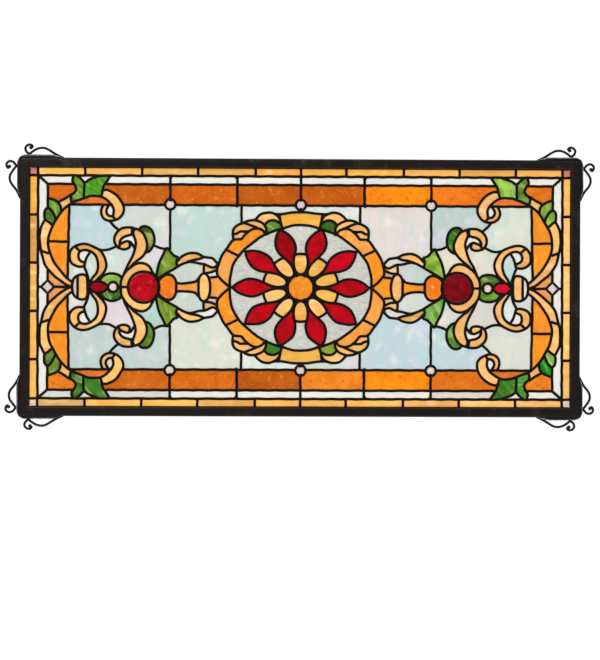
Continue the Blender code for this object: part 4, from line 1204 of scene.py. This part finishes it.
def channelProfile():
    # across the bar from the sight line and in from the front, with the groove for the panel's edge
    w, d = barWidth, frameDepth
    profile = []

    def corner(cx, cy, radius, start):
        for i in range(channel["steps"] + 1):
            turn = math.radians(start + 90 * i / channel["steps"])
            profile.append((cx + radius * math.cos(turn), cy + radius * math.sin(turn)))

    front, back = channel["roundFront"], channel["roundBack"]
    corner(front, -d + front, front, 180)
    corner(w - front, -d + front, front, 270)
    corner(w - back, -back, back, 0)
    corner(back, -back, back, 90)
    profile += [(0, -channel["lip"]), (channel["groove"], -channel["lip"])]
    profile += [(channel["groove"], -d + channel["lip"]), (0, -d + channel["lip"])]
    return profile


def solidPiece(name, verts, faces, material):
    mesh = bpy.data.meshes.new(name)
    mesh.from_pydata(verts, [], faces)
    mesh.shade_smooth()
    mesh.set_sharp_from_angle(angle=math.radians(35))
    mesh.materials.append(material)
    return linked(name, mesh)


def frameBar(name, node, alongX, side):
    profile, lengths = channelProfile(), channel["lengths"]
    verts = []
    for share in [k / lengths for k in range(lengths + 1)]:
        for out, depth in profile:
            if alongX:
                x = (2 * share - 1) * (sightHalf[0] + out)
                z = side * (sightHalf[1] + out)
            else:
                x = side * (sightHalf[0] + out)
                z = (2 * share - 1) * (sightHalf[1] + out)
            verts.append((x, depth, middleZ + z))
    count = len(profile)
    faces = [tuple(range(count)), tuple(range((lengths + 1) * count - 1, lengths * count - 1, -1))]
    for k in range(lengths):
        faces += wallFaces(k * count, (k + 1) * count, count)
    if (side > 0) != alongX:
        faces = [face[::-1] for face in faces]
    piece = solidPiece(name, verts, faces, frameMaterial)
    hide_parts(node)
    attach(piece, "root")


frameBar("topRail", "top_rail", True, 1)
frameBar("bottomRail", "bottom_rail", True, -1)
frameBar("leftStile", "left_stile", False, -1)
frameBar("rightStile", "right_stile", False, 1)

strap = {
    "inset": 0.001, "inner": 0.1, "outer": 3.0, "corner": 8.8, "bends": 10, "round": 0.0021, "steps": 5,
    "endArm": [(-41.5, 0.1), (-41.2, 0.35), (-40, 0.8), (-38.5, 1.3), (-36.5, 1.95), (-34, 2.6),
        (-30, 3.05), (-20, 3)],
    "sideArm": [(3, -18), (3.05, -26), (2.9, -30), (2.5, -33), (1.9, -35.2), (1.2, -37), (0.6, -38.1),
        (0.1, -38.5)],
}
scroll = {
    "radius": 0.0019, "ball": 0.0028, "sides": 12, "error": 0.02,
    "end": [(-10.5, 9.9), (-12.1, 10.9), (-11.3, 12.3), (-9.3, 12.9), (-6.9, 12.2), (-5.3, 10.3), (-5, 8.5),
        (-5.8, 6.2), (-7.5, 4.6), (-9.5, 4.05), (-11.5, 5.6), (-14, 7.3), (-16.5, 8.6), (-19.5, 9.5),
        (-22.5, 9.7), (-25.5, 9.1), (-29, 7.3), (-31.8, 5.5), (-34.8, 3.7), (-37.8, 2.1), (-40.6, 0.7),
        (-43.2, -0.5)],
    "side": [(10.8, -9), (11.9, -10.4), (13.2, -9.4), (13.8, -7.3), (13.1, -5.2), (11.3, -3.9), (9.5, -3.6),
        (7, -4.5), (5.1, -6.5), (4.05, -8.5), (5.6, -10.5), (7.5, -13.2), (9.5, -16), (10.5, -19.5),
        (10.2, -23), (8.5, -26.5), (6.1, -29.4), (3.9, -32.4), (2.2, -35.4), (0.8, -38.4), (-0.4, -40.6)],
}


def fromCorner(across, up, x, z):
    # squares from a corner of the frame, counted outward
    cornerX, cornerZ = [(half + barWidth) / square for half in sightHalf]
    return (across * (cornerX + x), up * (cornerZ + z))


def strapOutline():
    # each point with its way toward the frame, as long as the rounding there
    radius, inner = strap["corner"], strap["inner"]
    middle = strap["outer"] - radius
    bend = [(middle + radius * math.sin(turn), middle + radius * math.cos(turn))
            for turn in [math.radians(90 * k / strap["bends"]) for k in range(strap["bends"] + 1)]]
    line = strap["endArm"] + bend + strap["sideArm"]
    made = [((inner, inner), (0, 0))]
    for i, (x, z) in enumerate(line):
        (x0, z0), (x1, z1) = line[max(i - 1, 0)], line[min(i + 1, len(line) - 1)]
        length = math.hypot(x1 - x0, z1 - z0)
        room = z - inner if x < inner else x - inner if z < inner else math.hypot(x - inner, z - inner)
        ease = min(strap["round"] / square, 0.7 * room)
        made.append(((x, z), (ease * (z1 - z0) / length, -ease * (x1 - x0) / length)))
    return made


def cornerStrap(name, node, across, up):
    # a folded plate over the front and back of the corner: its rings go in at both faces
    outline = strapOutline()
    if across * up < 0:
        outline = outline[::-1]
    turns = [math.radians(90 * k / strap["steps"]) for k in range(strap["steps"] + 1)]
    face = -frameDepth + strap["inset"]
    front = [(1 - math.sin(turn), face + strap["round"] * (1 - math.cos(turn))) for turn in turns]
    rings = front + [(share, -frameDepth - depth) for share, depth in front[::-1]]
    count, last = len(outline), len(rings) - 1
    verts, worn = [], []
    for level, (share, depth) in enumerate(rings):
        for (x, z), (inX, inZ) in outline:
            verts.append(place(*fromCorner(across, up, x + inX * share, z + inZ * share), depth))
            # the worn attribute marks the outline's rounding, where wear and painted edge highlight show
            # brightest
            worn.append(1.0 if 0 < level < strap["steps"] and (inX or inZ) else 0.0)
    faces = [tuple(range(count)), tuple(range((last + 1) * count - 1, last * count - 1, -1))]
    for level in range(last):
        faces += wallFaces(level * count, (level + 1) * count, count)
    piece = solidPiece(name, verts, faces, strapMaterial)
    piece.data.attributes.new("worn", "FLOAT", "POINT").data.foreach_set("value", worn)
    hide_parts(node)
    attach(piece, "root")


def scrollTree():
    inputs = {"Radius": ("NodeSocketFloat", 0.0012), "Ball": ("NodeSocketFloat", 0.0017),
              "Sides": ("NodeSocketInt", 12)}
    tree, graph, ports = geometryTree("scrollWire", inputs)
    profile = graph.node("GeometryNodeCurvePrimitiveCircle", None, {
        "Resolution": ports["Sides"], "Radius": ports["Radius"]})
    wire = graph.node("GeometryNodeCurveToMesh", None, {
        "Curve": ports["Geometry"], "Profile Curve": profile, "Fill Caps": True})
    tips = graph.node("GeometryNodeCurveEndpointSelection", None, {"Start Size": 1, "End Size": 0})
    ball = graph.node("GeometryNodeMeshUVSphere", None, {
        "Segments": 16, "Rings": 10, "Radius": ports["Ball"]})
    balls = graph.node("GeometryNodeInstanceOnPoints", None, {
        "Points": ports["Geometry"], "Selection": tips, "Instance": ball})
    both = tree.nodes.new("GeometryNodeJoinGeometry")
    for part in (wire, balls):
        tree.links.new(part.socket, both.inputs[0])
    finishTree(tree, Signal(graph, both.outputs[0]), wireMaterial)
    return tree


wires = scrollTree()
values = {"Radius": scroll["radius"], "Ball": scroll["ball"], "Sides": scroll["sides"]}
for level, up in (("top", 1), ("bottom", -1)):
    for side, across in (("left", -1), ("right", 1)):
        corner = level.capitalize() + side.capitalize()
        cornerStrap("strap" + corner, f"corner_strap_{level}_{side}", across, up)
        for part in ("end", "side"):
            drawn = thinned(smoothed(scroll[part]), scroll["error"])
            path = [place(*fromCorner(across, up, x, z), middleY) for x, z in drawn]
            holder = pathHolder("path", [(path, False, [1.0] * len(path))])
            piece = grownMesh(part + "Scroll" + corner, holder, wires, values)
            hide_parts(f"{part}_scroll_{level}_{side}")
            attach(piece, "root")
print("frame, straps and scrolls done")


# floor, light and camera

studio = {"front": 0.42, "back": 1.04, "above": 0.35, "floorHalf": 2.6, "floorBelow": 1.1}


def stagePiece():
    mesh = bpy.data.meshes.new("floor")
    half, level = studio["floorHalf"], middleZ - studio["floorBelow"]
    corners = [(-half, -half, level), (half, -half, level), (half, half, level), (-half, half, level)]
    mesh.from_pydata(corners, [], [(0, 1, 2, 3)])
    floor = Finish("paleFloor")
    speckle = floor.noise(0.4, even, 2.0)
    floor.set(colour=floor.mix(speckle, tone(236, 236, 234), tone(242, 242, 240)), rough=0.9, shine=0.1)
    mesh.materials.append(floor.material)
    linked("floor", mesh)


def studioWorld():
    # bright behind the panel and dim in front of it, so that the glass is lit from behind
    world = bpy.data.worlds.new("studio")
    bpy.context.scene.world = world
    world.use_nodes = True
    sky = Graph(world.node_tree)
    background = world.node_tree.nodes["Background"]
    split = world.node_tree.nodes.new("ShaderNodeSeparateXYZ")
    way = sky.node("ShaderNodeTexCoord", output="Generated")
    world.node_tree.links.new(way.socket, split.inputs[0])
    behind = sky.node("ShaderNodeMapRange", {"interpolation_type": "SMOOTHSTEP"}, {
        "Value": Signal(sky, split.outputs["Y"]), "From Min": -0.9, "From Max": 0.3})
    above = sky.node("ShaderNodeMapRange", {"interpolation_type": "SMOOTHSTEP"}, {
        "Value": Signal(sky, split.outputs["Z"]), "From Min": 0.1, "From Max": 0.9})
    level = behind * (studio["back"] - studio["front"]) + above * studio["above"] + studio["front"]
    colour = sky.node("ShaderNodeCombineColor", None, {"Red": level, "Green": level, "Blue": level})
    world.node_tree.links.new(colour.socket, background.inputs["Color"])


stagePiece()
studioWorld()

lamps = {
    "key": {"at": (-0.9, -1.6, 1.1), "size": 1.2, "power": 14},
    "back": {"at": (0.6, 1.5, 0.9), "size": 1.4, "power": 8},
}
for name, lamp in lamps.items():
    data = bpy.data.lights.new(name, "AREA")
    data.size = lamp["size"]
    data.energy = lamp["power"]
    light = linked(name, data)
    light.location = lamp["at"]
    aim = Vector((0, 0, middleZ)) - Vector(lamp["at"])
    light.rotation_euler = aim.to_track_quat("-Z", "Y").to_euler()

# the panel's middle in the picture, in pixels, a pixel's size on the panel in metres, and degrees
view = {"distance": 3.6, "pixel": 0.001495, "middle": (300.6, 287.75), "frame": (600, 660),
        "roll": -0.22, "turn": 1.5}
cameraData = bpy.data.cameras.new("camera")
cameraData.sensor_fit = "VERTICAL"
cameraData.sensor_height = 36
cameraData.lens = cameraData.sensor_height * view["distance"] / (view["frame"][1] * view["pixel"])
camera = linked("camera", cameraData)
down = (view["frame"][1] / 2 - view["middle"][1]) * view["pixel"]
aside = (view["middle"][0] - view["frame"][0] / 2) * view["pixel"]
turn = math.radians(view["turn"])
camera.location = (-view["distance"] * math.sin(turn) - aside * math.cos(turn),
                   -frameDepth - view["distance"] * math.cos(turn) + aside * math.sin(turn), middleZ - down)
camera.rotation_euler = (math.radians(90), math.radians(view["roll"]), -turn)
bpy.context.scene.camera = camera
print("camera lens", round(cameraData.lens, 1))
